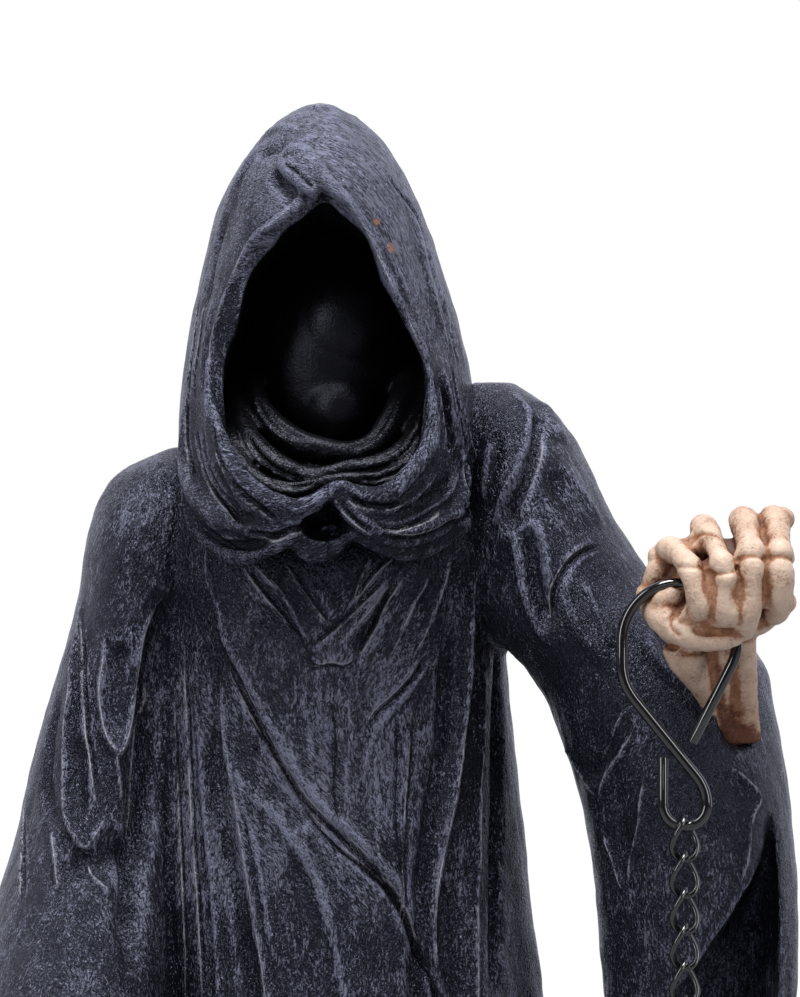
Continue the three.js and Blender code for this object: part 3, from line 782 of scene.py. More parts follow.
robeFolds = [
    # right sleeve, at the photo's left
    ("valley", 2.8, 5.2, [(170, 590), (163, 615), (157, 660), (152, 705), (147.5, 750), (143, 802), (138, 863), (134, 920),
                         (131, 975)]),
    ("ridge", 0.5, 0.9, [(161, 669), (158, 697), (150, 730), (147, 757), (146, 781), (143, 820), (138, 862)]),
    ("ridge", 0.65, 1.3, [(105, 630), (103.6, 663), (100.6, 697), (103.6, 724), (111, 745), (120, 752), (129, 733),
                         (135, 703), (140, 669), (144, 639), (152, 618), (164, 600), (175, 596)]),
    ("valley", 1.8, 1.9, [(119, 640), (117, 690), (115, 715), (117, 738)]),
    ("ridge", 0.52, 0.9, [(115.7, 752), (118.7, 775), (122, 799)]),
    ("ridge", 0.72, 1.3, [(82.5, 600), (75, 657), (72, 697), (67.4, 730), (66, 772), (66, 808), (70, 829), (84, 847),
                         (100.6, 827), (106.6, 811)]),
    ("valley", 1.4, 1.2, [(60, 690), (50, 740), (47, 790), (55, 830)]),
    ("groove", 0.5, 0.9, [(82, 612), (84, 657), (85.5, 697), (89, 736), (94.5, 772), (100, 805)]),
    ("valley", 1.6, 1.0, [(80, 740), (78, 780), (82, 820)]),
    ("valley", 3.0, 3.0, [(70, 852), (95, 864), (115, 852), (128, 832)]),
    ("ridge", 0.65, 1.0, [(52, 830), (56, 855), (58, 890)]),
    ("ridge", 0.52, 1.0, [(85, 857), (100, 884), (112, 895)]),
    ("groove", 0.6, 1.2, [(27, 790), (25, 802), (23.6, 850), (23, 900)]),
    # the gown's front
    ("valley", 1.6, 1.3, [(213, 640), (216, 717), (213, 763), (220, 810), (227, 857), (237, 895), (248, 960), (256, 1040), (262, 1130)]),
    ("ridge", 0.78, 0.9, [(219, 660), (221, 717), (228, 760), (236, 800), (243, 850), (250, 895), (262, 970), (272, 1060)]),
    ("soft", 0.65, 0.8, [(207, 542), (208, 579), (220, 611), (225, 638), (244, 675)]),
    ("foldRight", 1.0, 1.6, [(217, 640), (236.7, 677), (253, 712), (267, 740), (283, 768), (302, 798), (321, 819),
                             (342, 838), (363, 859), (388, 889), (412, 930), (432, 985), (447, 1060), (457, 1150)]),
    ("foldRight", 0.7, 0.8, [(300, 805), (321, 831), (342, 852), (363, 868), (384, 887)]),
    ("groove", 0.35, 0.5, [(230, 670), (251, 712), (272, 752), (300, 798)]),
    ("ridge", 1.4, 1.0, [(234, 763), (255, 798), (272, 810), (288, 833), (309, 864), (325, 905), (338, 960), (347, 1030)]),
    ("soft", 0.78, 0.8, [(224, 740), (238, 775), (246, 810), (256, 850), (265, 905), (274, 970)]),
    ("valley", 2.5, 0.9, [(262, 790), (285, 805), (300, 830)]),
    ("soft", 0.59, 0.7, [(195, 680), (200, 740), (204, 800), (210, 860), (215, 920), (219, 1000), (222, 1090)]),
    ("groove", 0.5, 0.45, [(186, 640), (188, 700), (192, 780), (196, 850), (201, 920), (206, 1010)]),
    ("groove", 0.4, 0.35, [(176, 700), (178, 770), (182, 840), (185, 910), (188, 1000)]),
    ("groove", 0.6, 0.8, [(428, 655), (414, 676), (400, 693), (379, 712), (366, 730)]),
    ("soft", 0.4, 0.4, [(427, 664), (410, 690), (392, 712), (377, 730), (366, 760), (362, 790)]),
    ("soft", 0.4, 0.35, [(300, 690), (309, 730), (312, 770), (322, 810)]),
    ("soft", 0.4, 0.35, [(345, 690), (350, 730), (346, 780), (352, 830)]),
    ("soft", 0.4, 0.35, [(372, 760), (378, 800), (377, 840), (386, 890)]),
    ("valley", 0.7, 0.4, [(330, 700), (336, 740), (334, 790), (340, 830)]),
    ("valley", 0.7, 0.5, [(394, 700), (398, 750), (396, 810), (402, 880), (408, 950)]),
    ("groove", 0.4, 0.5, [(415, 700), (412, 750), (408, 810), (405, 870), (407, 940)]),
    # the lip of the left sleeve's mouth, beside the forearm
    ("soft", 0.5, 0.6, [(646, 630), (653, 650), (667, 668), (690, 686), (705, 698), (715, 722), (719, 744)]),
    ("valley", 0.9, 0.7, [(640, 640), (648, 662), (664, 680), (684, 696), (698, 710), (706, 732)]),
    ("valley", 1.9, 2.7, [(456, 560), (453.7, 612), (449, 670), (444, 740), (437, 787), (430, 833), (423, 892), (419, 960), (417, 1050), (416, 1150)]),
    ("ridge", 0.78, 1.5, [(478, 570), (470, 623), (467.7, 670), (463, 717), (458, 763), (451, 810), (442, 852), (435, 895), (431, 960), (430, 1040)]),
    ("ridge", 0.45, 0.8, [(486, 640), (485, 663), (483, 740), (479, 798), (479, 857), (477, 900), (477, 980), (479, 1080)]),
    ("ridge", 0.59, 0.6, [(432, 572), (419, 594), (406, 621), (393, 653)]),
    ("ridge", 0.65, 0.7, [(451, 560), (442, 589), (432, 617), (415, 653)]),
    ("valley", 1.5, 2.2, [(499, 640), (498, 740), (497, 820), (496, 900), (495, 1000)]),
    # the neckline
    ("lipRight", 0.5, 0.9, [(242, 566), (255, 585), (274, 608), (295, 634), (308, 657)]),
    ("ridge", 0.52, 1.0, [(252, 564), (270, 581), (287, 602), (299, 626), (308, 645)]),
    ("lipRight", 0.5, 0.8, [(284, 562), (299, 585), (312, 604), (329, 626)]),
    ("ridge", 2, 0.5, [(318, 585), (325, 605), (330, 622)]),
    ("lipLeft", 0.6, 0.8, [(370, 555), (361, 579), (353, 602)]),
    ("lipLeft", 0.6, 0.8, [(395, 557), (378, 572), (361, 594), (355, 604)]),
    ("lipLeft", 0.6, 1.0, [(387, 581), (366, 602), (334, 632), (310, 651)]),
    ("ridge", 0.45, 0.8, [(387, 587), (372, 608), (351, 632), (338, 647)]),
    ("valley", 1.3, 1.6, [(392, 590), (376, 618), (362, 640), (355, 652)]),
    ("lipLeft", 0.7, 0.9, [(404, 576), (389, 602), (374, 634), (357, 660)]),
    ("lipLeft", 0.42, 0.7, [(306, 650), (310, 658), (319, 664), (331, 662), (344, 664), (358, 656)]),
    # left sleeve, at the photo's right
    ("soft", 1.0, 1.3, [(512, 392), (527, 412), (529, 438), (522, 462), (511, 484), (501, 505), (494, 530)]),
    ("valley", 1.5, 2.3, [(536, 416), (537, 440), (531, 464), (523, 484), (516, 505), (510, 532)]),
    ("ridge", 0.7, 1.0, [(544, 430), (542, 455), (535, 478), (526, 498), (518, 520)]),
    ("soft", 2.4, 1.1, [(538, 402), (551, 418), (560, 440)]),
    ("soft", 1.8, 0.9, [(560, 460), (574, 484), (590, 506), (604, 528)]),
    ("valley", 2.0, 1.0, [(551, 470), (561, 496), (575, 520), (591, 538)]),
    ("soft", 0.9, 0.8, [(492, 440), (487, 470), (486, 505)]),
    ("valley", 1.2, 0.9, [(500, 430), (496, 462), (492, 490), (489, 520)]),
    ("groove", 0.6, 1.1, [(601, 546), (584, 551), (570, 562), (561, 576), (554, 593), (552, 618)]),
    ("ridge", 1.6, 1.0, [(570, 568), (566, 593), (570, 611), (584, 638), (601, 656), (608, 673)]),
    ("soft", 0.9, 1.2, [(529, 516), (540, 534), (547, 556), (548, 582), (545, 606)]),
    ("valley", 1.5, 2.0, [(524, 528), (530, 552), (534, 580), (541, 604), (549, 628)]),
    ("soft", 0.9, 1.1, [(515, 532), (519, 562), (525, 596), (540, 630), (556, 650)]),
    ("soft", 0.8, 0.8, [(579, 582), (592, 600), (602, 628), (612, 648)]),
    ("ridge", 0.52, 0.9, [(598, 799), (610, 770), (622, 753), (632, 733)]),
    ("ridge", 0.52, 0.8, [(598, 762), (610, 742), (620, 720), (631, 706)]),
    ("valley", 1.5, 1.2, [(590, 780), (604, 756), (616, 735)]),
    ("ridge", 0.59, 0.9, [(643, 778), (640, 820), (632, 858), (629, 883)]),
    ("ridge", 0.52, 0.9, [(604, 834), (615, 865), (622, 890)]),
    ("valley", 1.8, 1.2, [(620, 780), (618, 820), (622, 858)]),
    ("ridge", 0.45, 0.8, [(560, 737), (578, 768), (595, 795)]),
    ("soft", 0.52, 0.7, [(664, 664), (684, 697), (715, 715)]),
    ("ridge", 0.78, 1.0, [(727, 764), (745, 780), (758, 798), (750, 820), (746, 860), (740, 885)]),
]

robePaint = {
    "dark": (0.0042, 0.0043, 0.0068),
    "grey": (0.097, 0.098, 0.131),
    "light": (0.15, 0.158, 0.22),
    "chip": (0.25, 0.10, 0.05),
    "chips": [(391, 248), (378, 222)],
    # where the dry brush went more or less, with painted light on the lit hood top and chest and painted shade under
    # the cowl, in the gown's dark strip and in the sleeves: photo pixel, reach in pixels, how much more
    "dust_light_and_shade": [
        ((240, 520), 55, -0.8), ((420, 525), 55, -1.1), ((330, 545), 40, -0.6), ((590, 650), 60, -1.5),
        ((345, 760), 85, 1.0), ((290, 840), 70, 0.9), ((190, 730), 45, 0.9), ((195, 840), 45, 0.7), ((140, 500), 50, 0.5),
        ((320, 640), 50, 0.4), ((330, 140), 80, 1.9), ((420, 250), 55, 1.4), ((240, 230), 60, 0.4), ((565, 470), 60, 0.2), ((85, 780), 55, -0.5),
        ((497, 770), 28, -1.6), ((725, 820), 50, -1.1), ((668, 690), 16, -1.4), ((690, 718), 18, -1.4),
        ((712, 742), 16, -1.4), ((640, 800), 60, -0.5), ((450, 760), 26, -0.7),
        ((140, 690), 30, -0.5),
    ],
    "lip": (0.30, 0.29, 0.32),
    "wall_shade": (0.011, 0.011, 0.014),  # inside the hood, one dark colour for the hollow's walls: painted shade
    "streak": (0.42, 0.42, 3.4),  # mm across and along a brush stroke
    "wrinkle": (0.46, 0.46, 1.3),
    "crack": (1.0, 1.0, 3.2),
    "patch": (6, 6, 13),
    "relief": 0.40,
}


def paintRobe():
    paint = Paint("black_cloth_paint", Specular_IOR_Level=0.4, Specular_Tint=(0.66, 0.70, 1, 1))
    follow = paint.painted("follow")
    drape = paint.painted("drape", "Vector")

    def brush(size, detail, rough, bend):  # strokes down the cloth, or along its folds
        upright = paint.grain(size, detail, rough, None, bend)
        return paint.between(follow, upright, paint.grain(size, detail, rough, drape, bend))

    def line(name, least, most):  # 1 along a drawn line, and broken a little
        away = paint.painted(name).math("ABSOLUTE") + fine * 0.16
        return (1 - paint.fade(away, least, most)) * paint.painted(name + "Keep")

    streak = brush(robePaint["streak"], 3, 0.6, 0.3) - 0.5
    middle = brush(robePaint["crack"], 2, 0.55, 0.9) - 0.5
    crack = paint.fade(middle.math("ABSOLUTE"), 0.0, 0.10)
    wrinkle = brush(robePaint["wrinkle"], 1, 0.5, 1.2) - 0.5
    calm = paint.fade(paint.painted("dust"), 0.5, 1.5)
    thread = paint.fade(wrinkle + calm * 0.12, -0.07, 0.01)
    fine = paint.grain(0.30, 1, 0.5) - 0.5
    patch = paint.grain(robePaint["patch"], 3, 0.5) - 0.5
    broad = paint.grain(11, 2, 0.5) - 0.5
    ridge = paint.painted("ridge")
    hollow = paint.painted("hollow")
    inside = paint.painted("inside")
    # dust brings dry-brush coverage together with painted light, lighter where the top light falls, and painted shade
    # in shaded recesses
    dust = paint.painted("dust")
    # creases get a dark line and, like the hood's hollow, no dry brush, wear or specks: painted shade
    crease = line("crease", 0.03, 0.22)
    lip = line("lip", 0.04, 0.22) * paint.fade(patch + streak, -0.16, 0.12)
    cover = (1 - inside) * (1 - crease)
    # the dry brush is held back in hollows, which is painted shade
    brushed = streak * 1.6 + patch * 2.1 + broad * 1.2 + ridge * 0.30 - hollow * 0.8 + dust * 0.8 + wrinkle * 2.2
    brushed = paint.fade(brushed, 0.0, 0.70) * cover * (0.10 + crack * 0.90) * (0.30 + thread * 0.70)
    pits = paint.fade(fine + wrinkle * 0.5, -0.12, 0.06)
    worn = ridge * 0.90 + streak * 1.6 + wrinkle * 1.4 + patch * 0.8 + dust * 0.30
    worn = paint.fade(worn, 0.45, 1.20) * cover * (0.20 + pits * 0.85)
    # fine light specks over the cloth: partly dry brush, partly painted glints
    specks = paint.fade(wrinkle + fine * 0.7 + patch * 0.6 + dust * 0.12, 0.09, 0.22) * cover * (0.55 - calm * 0.45)
    colour = paint.blend(brushed, robePaint["dark"], robePaint["grey"])
    colour = paint.blend(specks, colour, robePaint["light"])
    colour = paint.blend(worn, colour, robePaint["light"])
    colour = paint.blend(lip * (1 - inside), colour, robePaint["lip"])
    # the hood's hollow is painted over with the dark wall colour: painted shade
    colour = paint.blend(inside, colour, robePaint["wall_shade"])
    colour = paint.blend(paint.painted("chip"), colour, robePaint["chip"])
    roughness = 0.22 + brushed * 0.08 + worn * 0.25 + fine * 0.10
    height = streak * 0.25 + wrinkle * 1.0 + fine * 0.12 + crack * 0.34 + lip * 0.3 - crease * 0.7
    return paint.finish(colour, roughness, height, robePaint["relief"])


def relief(piece, spacing):  # how far each place stands out of its surroundings, 0 to 1, and how deep it lies
    base, facing = places(piece), normals(piece)
    reach = (1.0, 3.2)  # mm
    rounds = [max(2, round(length**2 / (0.3 * spacing**2))) for length in reach]
    near, wide = [np.einsum("ij,ij->i", base - relaxed(piece, base, count), facing) for count in rounds]
    fine = near - wide * rounds[0] / rounds[1]
    broad = wide - reach[1] ** 2 / 90  # less what a plain round body shows
    out = fine / 0.15 + broad / 2.6
    return np.clip(out, 0, 1), np.clip(-out * 2, 0, 1)


def carried(source, values, target):  # values at the source's places, read at the nearest target places
    tree = KDTree(len(source))
    for index, spot in enumerate(source):
        tree.insert(spot, index)
    tree.balance()
    nearest = [tree.find(spot)[1] for spot in target]
    return np.asarray(values)[nearest]


def thinned(piece, triangles):  # with more of the triangles kept where the photo shows the piece
    count = sum(len(face.vertices) - 2 for face in piece.data.polygons)
    if count <= triangles:
        return
    points = places(piece)
    plain = np.clip(ramp(2, 14, points[:, 1]) + ramp(198, 188, points[:, 2]), 0, 1)
    group = piece.vertex_groups.new(name="plain")
    for step in range(5):
        share = np.flatnonzero(np.round(plain * 4) == step)
        group.add(share.tolist(), 0.2 + step * 0.2, "REPLACE")
    finish(piece, "DECIMATE", ratio=triangles / count, vertex_group="plain", vertex_group_factor=1)
    piece.vertex_groups.clear()


def vectorAttribute(piece, name, values):
    layer = piece.data.attributes.new(name, "FLOAT_VECTOR", "POINT")
    layer.data.foreach_set("vector", np.asarray(values, np.float32).ravel())


def seen(points):  # places as photo pixels
    scale = photo["distance"] / (photo["distance"] + points[:, 1])
    x = eyeX + (points[:, 0] - eyeX) * scale
    z = eyeZ + (points[:, 2] - eyeZ) * scale
    return np.stack([photo["zeroX"] + x * photo["pixelsPerMm"], photo["topY"] + (photo["tip"] - z) * photo["pixelsPerMm"]], 1)


# where brush strokes lean on the gown and sleeves: photo pixel, reach in pixels, lean in degrees to the right
leans = [
    ((285, 800), 75, 34), ((240, 720), 50, 30), ((345, 860), 60, 36), ((395, 640), 60, -28), ((420, 560), 45, -18),
    ((275, 600), 40, 38), ((360, 610), 35, -36), ((560, 470), 70, 26), ((600, 600), 60, 22), ((120, 560), 60, -14),
    ((90, 800), 60, -8), ((640, 760), 70, -26),
]


def drapeRobe(points):  # turned coordinates for the strokes, and how much they count
    pixels = seen(points)
    weight = np.zeros(len(points))
    angle = np.zeros(len(points))
    second = np.zeros(len(points))
    for spot, reach, lean in leans:
        near = np.exp(-((np.linalg.norm(pixels - spot, axis=1) / reach) ** 2))
        better = near > weight
        second = np.where(better, weight, np.maximum(second, near))
        angle = np.where(better, math.radians(lean), angle)
        weight = np.maximum(weight, near)
    follow = ramp(0.15, 0.6, weight) * ramp(0, 0.25, weight - second) * ramp(4, -4, points[:, 1])
    x, z = points[:, 0], points[:, 2]
    turned = np.stack([x * np.cos(angle) + z * np.sin(angle), points[:, 1], z * np.cos(angle) - x * np.sin(angle)], 1)
    return turned * mm, follow


def drapeHood(points):  # strokes that run round the opening
    offset = points - openingCentre
    turn = np.arctan2(offset[:, 0], offset[:, 2])
    away = np.hypot(offset[:, 0], offset[:, 2])
    drape = np.stack([away + 18 * np.sin(turn), points[:, 1], turn * 26], 1)
    return drape * mm, ramp(12, -4, points[:, 1])


def insideHood(points):  # 1 on the walls of the hollow, 0 outside
    offset = points - openingCentre
    turn = np.arctan2(offset[:, 0], offset[:, 2])
    away = np.hypot(offset[:, 0], offset[:, 2])
    rim = innerEdge - openingCentre
    rimTurn = np.arctan2(rim[:, 0], rim[:, 2])
    order = np.argsort(rimTurn)
    reach = np.interp(turn, rimTurn[order], np.hypot(rim[:, 0], rim[:, 2])[order], period=2 * math.pi)
    front = np.interp(turn, rimTurn[order], rim[order, 1], period=2 * math.pi)
    return ramp(-1.6, -0.4, reach - away) * ramp(2.5, 5.5, points[:, 1] - front) * ramp(10, 7, points[:, 1])


def finishCasting(piece, strokes, spacing, drapes, inner, triangles):
    points = places(piece)
    ridge, hollow = relief(piece, spacing)
    thinned(piece, triangles)
    mark(piece, strokes)
    fewer = places(piece)
    nearest = carried(points, np.stack([ridge, hollow], 1), fewer)
    attribute(piece, "ridge", nearest[:, 0])
    attribute(piece, "hollow", nearest[:, 1])
    drape, follow = drapes(fewer)
    vectorAttribute(piece, "drape", drape)
    attribute(piece, "follow", follow)
    attribute(piece, "inside", inner(fewer))
    pixels = seen(fewer)
    # dust: the dry brush's spread together with painted light on lit places and painted shade on shaded ones
    dust = sum(amount * np.exp(-((np.linalg.norm(pixels - spot, axis=1) / reach) ** 2))
               for spot, reach, amount in robePaint["dust_light_and_shade"])
    attribute(piece, "dust", dust * ramp(10, 0, fewer[:, 1]))
    chips = [np.linalg.norm(pixels - spot, axis=1) < 3 + 3 * unrest(fewer, 0.9) for spot in robePaint["chips"]]
    attribute(piece, "chip", np.any(chips, axis=0) * ramp(0, -6, fewer[:, 1]))
    pick(piece)
    bpy.ops.object.shade_smooth()
    dress(piece, clothPaint, "robe", "robe")
    print(f"{piece.name} finished, {len(piece.data.polygons)} faces")


def roughen(piece):  # the unevenness of a casting, drawn out downwards
    points = places(piece)
    lump = unrest(points, (1.3, 1.3, 5.5)) * 0.10 + unrest(points + 30, 4.5) * 0.18
    points = points + normals(piece) * lump[:, None]
    points[:, 0] = np.minimum(points[:, 0], cadBox[1][0] / mm - 0.05)
    setPlaces(piece, points)


# folds down the back: kind, x at the top and at the bottom, top and bottom height, half-width and depth, in mm
backFolds = {
    "gown": [
        ("valley", 1, 4, 222, 14, 3.4, 2.8), ("ridge", 6, 13, 232, 14, 3.6, 1.8), ("ridge", -7, -12, 242, 14, 4.4, 2.0),
        ("valley", -14, -27, 236, 14, 3.2, 2.9), ("ridge", -20, -37, 212, 14, 4.0, 1.8),
        ("valley", -26, -49, 196, 14, 3.0, 2.7), ("valley", 13, 24, 240, 14, 3.0, 2.8),
        ("ridge", 19, 35, 230, 14, 3.8, 2.0), ("valley", 26, 47, 205, 14, 3.0, 2.5), ("ridge", 31, 57, 180, 14, 3.4, 1.5),
        ("valley", -4, -3, 130, 14, 2.2, 1.7), ("valley", 10, 14, 110, 14, 2.2, 1.7), ("valley", -20, -20, 120, 14, 2.4, 1.7),
    ],
    "hood": [
        ("valley", -5, -15, 338, 264, 2.6, 1.8), ("ridge", -9, -21, 326, 264, 2.6, 1.3), ("valley", 6, 17, 330, 264, 2.6, 1.8),
        ("ridge", 2, 5, 345, 264, 3.2, 1.3), ("valley", 0, -2, 300, 264, 2.4, 1.3),
    ],
}


def foldBack(piece, folds):
    points, facing = places(piece), normals(piece)
    x, y, z = points.T
    moved = np.zeros(len(points))
    for kind, high, low, top, bottom, width, depth in folds:
        down = (top - z) / (top - bottom)
        middle = high + (low - high) * down + 1.3 * np.sin(z / 19 + high)
        wide = width * (0.75 + 0.5 * np.clip(down, 0, 1))
        moved += depth * across(kind, (x - middle) / wide) * ramp(0, 0.25, down) * ramp(-4, 4, z - bottom)
    keep = ramp(0.15, 0.6, facing[:, 1]) * ramp(3, 12, y)
    setPlaces(piece, points + facing * (moved * keep)[:, None])


clothPaint = paintRobe()
cloth = castRobe()
setPlaces(cloth, relaxed(cloth, places(cloth), 6))
strokes = drawn(cloth, robeFolds)
setPlaces(cloth, carve(cloth, strokes))
foldBack(cloth, backFolds["gown"])
setPlaces(cloth, relaxed(cloth, places(cloth), 1))
roughen(cloth)
finishCasting(cloth, strokes, robe["voxel"], drapeRobe, lambda points: np.zeros(len(points)), robe["triangles"])

hood = addHood()
finish(hood, "REMESH", mode="VOXEL", voxel_size=robe["hoodVoxel"] * mm)
setPlaces(hood, relaxed(hood, places(hood), 8))
strokes = drawn(hood, hoodFolds)
setPlaces(hood, carve(hood, strokes))
foldBack(hood, backFolds["hood"])
setPlaces(hood, relaxed(hood, places(hood), 1))
roughen(hood)
finishCasting(hood, strokes, robe["hoodVoxel"], drapeHood, insideHood, robe["triangles"])


# Head: smooth and black, with no face, and a scarf rolled under it

head = {
    "voxel": 0.55,
    "eggs": [
        ((0.5, -3, 313), (14.5, 15, 22)),
        ((2.8, -11.6, 318.6), (8.8, 8, 9.6)),
        ((2.2, -13.0, 304.0), (6.8, 6.6, 6.4)),
        ((0.5, -10, 289), (17, 15, 8.6)),  # fills the space under the scarf
    ],
    # rolls of the scarf: photo pixels with depths in mm, and radii
    "scarf": [
        ([(246, 330, -2), (247, 352, -5), (250, 372, -9), (254, 392, -14), (260, 408, -17), (270, 422, -19.5), (283, 434, -21.5), (299, 443, -23),
          (318, 448, -23.6), (340, 452, -23.6), (358, 451, -23), (374, 444, -22), (387, 430, -20), (396, 414, -17.5),
          (402, 398, -14.5), (408, 376, -9), (411, 355, -5), (413, 333, -2)], [0.5, 1.2, 2.0, 2.3, 2.6, 2.8, 2.6, 2.3, 2.2, 2.4, 2.8, 2.7, 2.3, 1.3, 0.5]),
        ([(234, 352, -3), (234, 378, -9), (237, 400, -14), (243, 424, -20), (250, 438, -23.5), (260, 450, -26), (272, 461, -28), (286, 469, -29),
          (304, 475, -29.4), (326, 474, -29), (346, 468, -28.6), (366, 466, -28.4), (386, 461, -27.6), (400, 452, -26),
          (411, 440, -23.5), (418, 424, -19.5), (423, 400, -14), (425, 378, -9), (425, 354, -3)],
         [0.5, 1.2, 1.8, 2.0, 2.3, 2.4, 2.3, 2.0, 1.7, 1.7, 1.9, 2.1, 2.0, 1.8, 1.6, 1.1, 0.5]),
        ([(226, 395, -12), (227, 415, -16), (229, 432, -20), (235, 454, -26), (245, 470, -29.5), (258, 481, -31.6), (272, 488, -32.6), (290, 491, -33),
          (306, 488, -33), (322, 482, -33), (340, 479, -33), (358, 479, -32.8), (378, 479, -32.2), (394, 474, -31),
          (406, 466, -29), (415, 454, -26), (422, 436, -21), (426, 418, -17), (427, 400, -12)],
         [0.4, 1.1, 1.7, 1.9, 2.0, 1.9, 1.7, 1.5, 1.4, 1.4, 1.5, 1.7, 1.7, 1.6, 1.5, 1.0, 0.4]),
    ],
    "folds": [
        ("groove", 0.5, 0.8, [(247, 436), (257, 452), (270, 465), (286, 474), (302, 480)]),
        ("ridge", 0.35, 0.6, [(270, 486), (280, 491), (291, 493), (303, 491), (309, 488)]),
        ("groove", 0.45, 0.7, [(272, 481), (286, 485), (300, 486), (314, 483)]),
        ("ridge", 0.35, 0.5, [(297, 473), (309, 475), (322, 476)]),
        ("groove", 0.5, 0.9, [(417, 430), (411, 445), (400, 456), (386, 465), (370, 470), (356, 471)]),
        ("ridge", 0.35, 0.5, [(420, 412), (417, 426), (411, 441), (401, 452), (388, 460), (375, 465), (361, 467)]),
        ("groove", 0.5, 0.8, [(412, 462), (402, 470), (388, 476), (372, 480), (358, 479)]),
        ("valley", 0.6, 0.6, [(262, 398), (268, 412), (278, 424), (291, 434), (306, 440)]),
        ("valley", 0.6, 0.6, [(394, 398), (388, 414), (378, 430), (364, 443), (350, 450)]),
        ("ridge", 0.6, 0.5, [(253, 392), (258, 408), (268, 424), (282, 437), (298, 446)]),
    ],
}


def paintHead():
    paint = Paint("gloss_black", Specular_IOR_Level=0.24, Specular_Tint=(0.78, 0.80, 1, 1))
    fine = paint.grain(0.5, 2)
    dust = paint.fade(paint.grain(3, 4), 0.5, 0.75)
    scarf = paint.painted("scarf")
    edge = paint.fade(paint.painted("ridge") * 0.7 + fine * 3 - 1.5, 0.35, 1.1) * scarf
    lip = (1 - paint.fade(paint.painted("lip").math("ABSOLUTE"), 0.06, 0.28)) * paint.painted("lipKeep") * scarf
    colour = paint.blend(dust * 0.6, (0.0028, 0.0028, 0.0036), (0.008, 0.008, 0.011))
    worn = paint.fade(paint.grain(1.4, 3, 0.6) + fine * 0.5, 0.72, 0.95)
    colour = paint.blend(edge * worn * 0.2, colour, (0.07, 0.072, 0.095))
    colour = paint.blend(lip * worn * 0.6, colour, (0.20, 0.20, 0.24))
    return paint.finish(colour, 0.4 + dust * 0.12 - scarf * 0.17, fine * (0.7 + scarf * 0.9) + paint.grain(2.5, 3), 0.16)


def addHead():
    parts = [addEgg("egg", middle, half) for middle, half in head["eggs"]]
    parts += [roll("scarf", [placed(*place) for place in path], radii) for path, radii in head["scarf"]]
    piece = joined("head", parts)
    finish(piece, "REMESH", mode="VOXEL", voxel_size=head["voxel"] * mm)
    setPlaces(piece, relaxed(piece, places(piece), 8))
    strokes = drawn(piece, head["folds"])
    setPlaces(piece, carve(piece, strokes))
    mark(piece, strokes)
    points = places(piece)
    ridge, hollow = relief(piece, head["voxel"])
    away = np.hypot((points[:, 0] - 0.5) / 13.2, (points[:, 2] - 315) / 18)
    attribute(piece, "ridge", ridge)
    # the scarf's paint is held to its lower part and fades out above, leaving the top of the hollow dark as painted
    # shade
    attribute(piece, "scarf", ramp(0.95, 1.1, away) * ramp(309, 299, points[:, 2]))
    pick(piece)
    bpy.ops.object.shade_smooth()
    dress(piece, paintHead(), "robe", "robe")


addHead()
print("head finished")


# Hands of bone: joints as photo pixel, depth and radius in mm

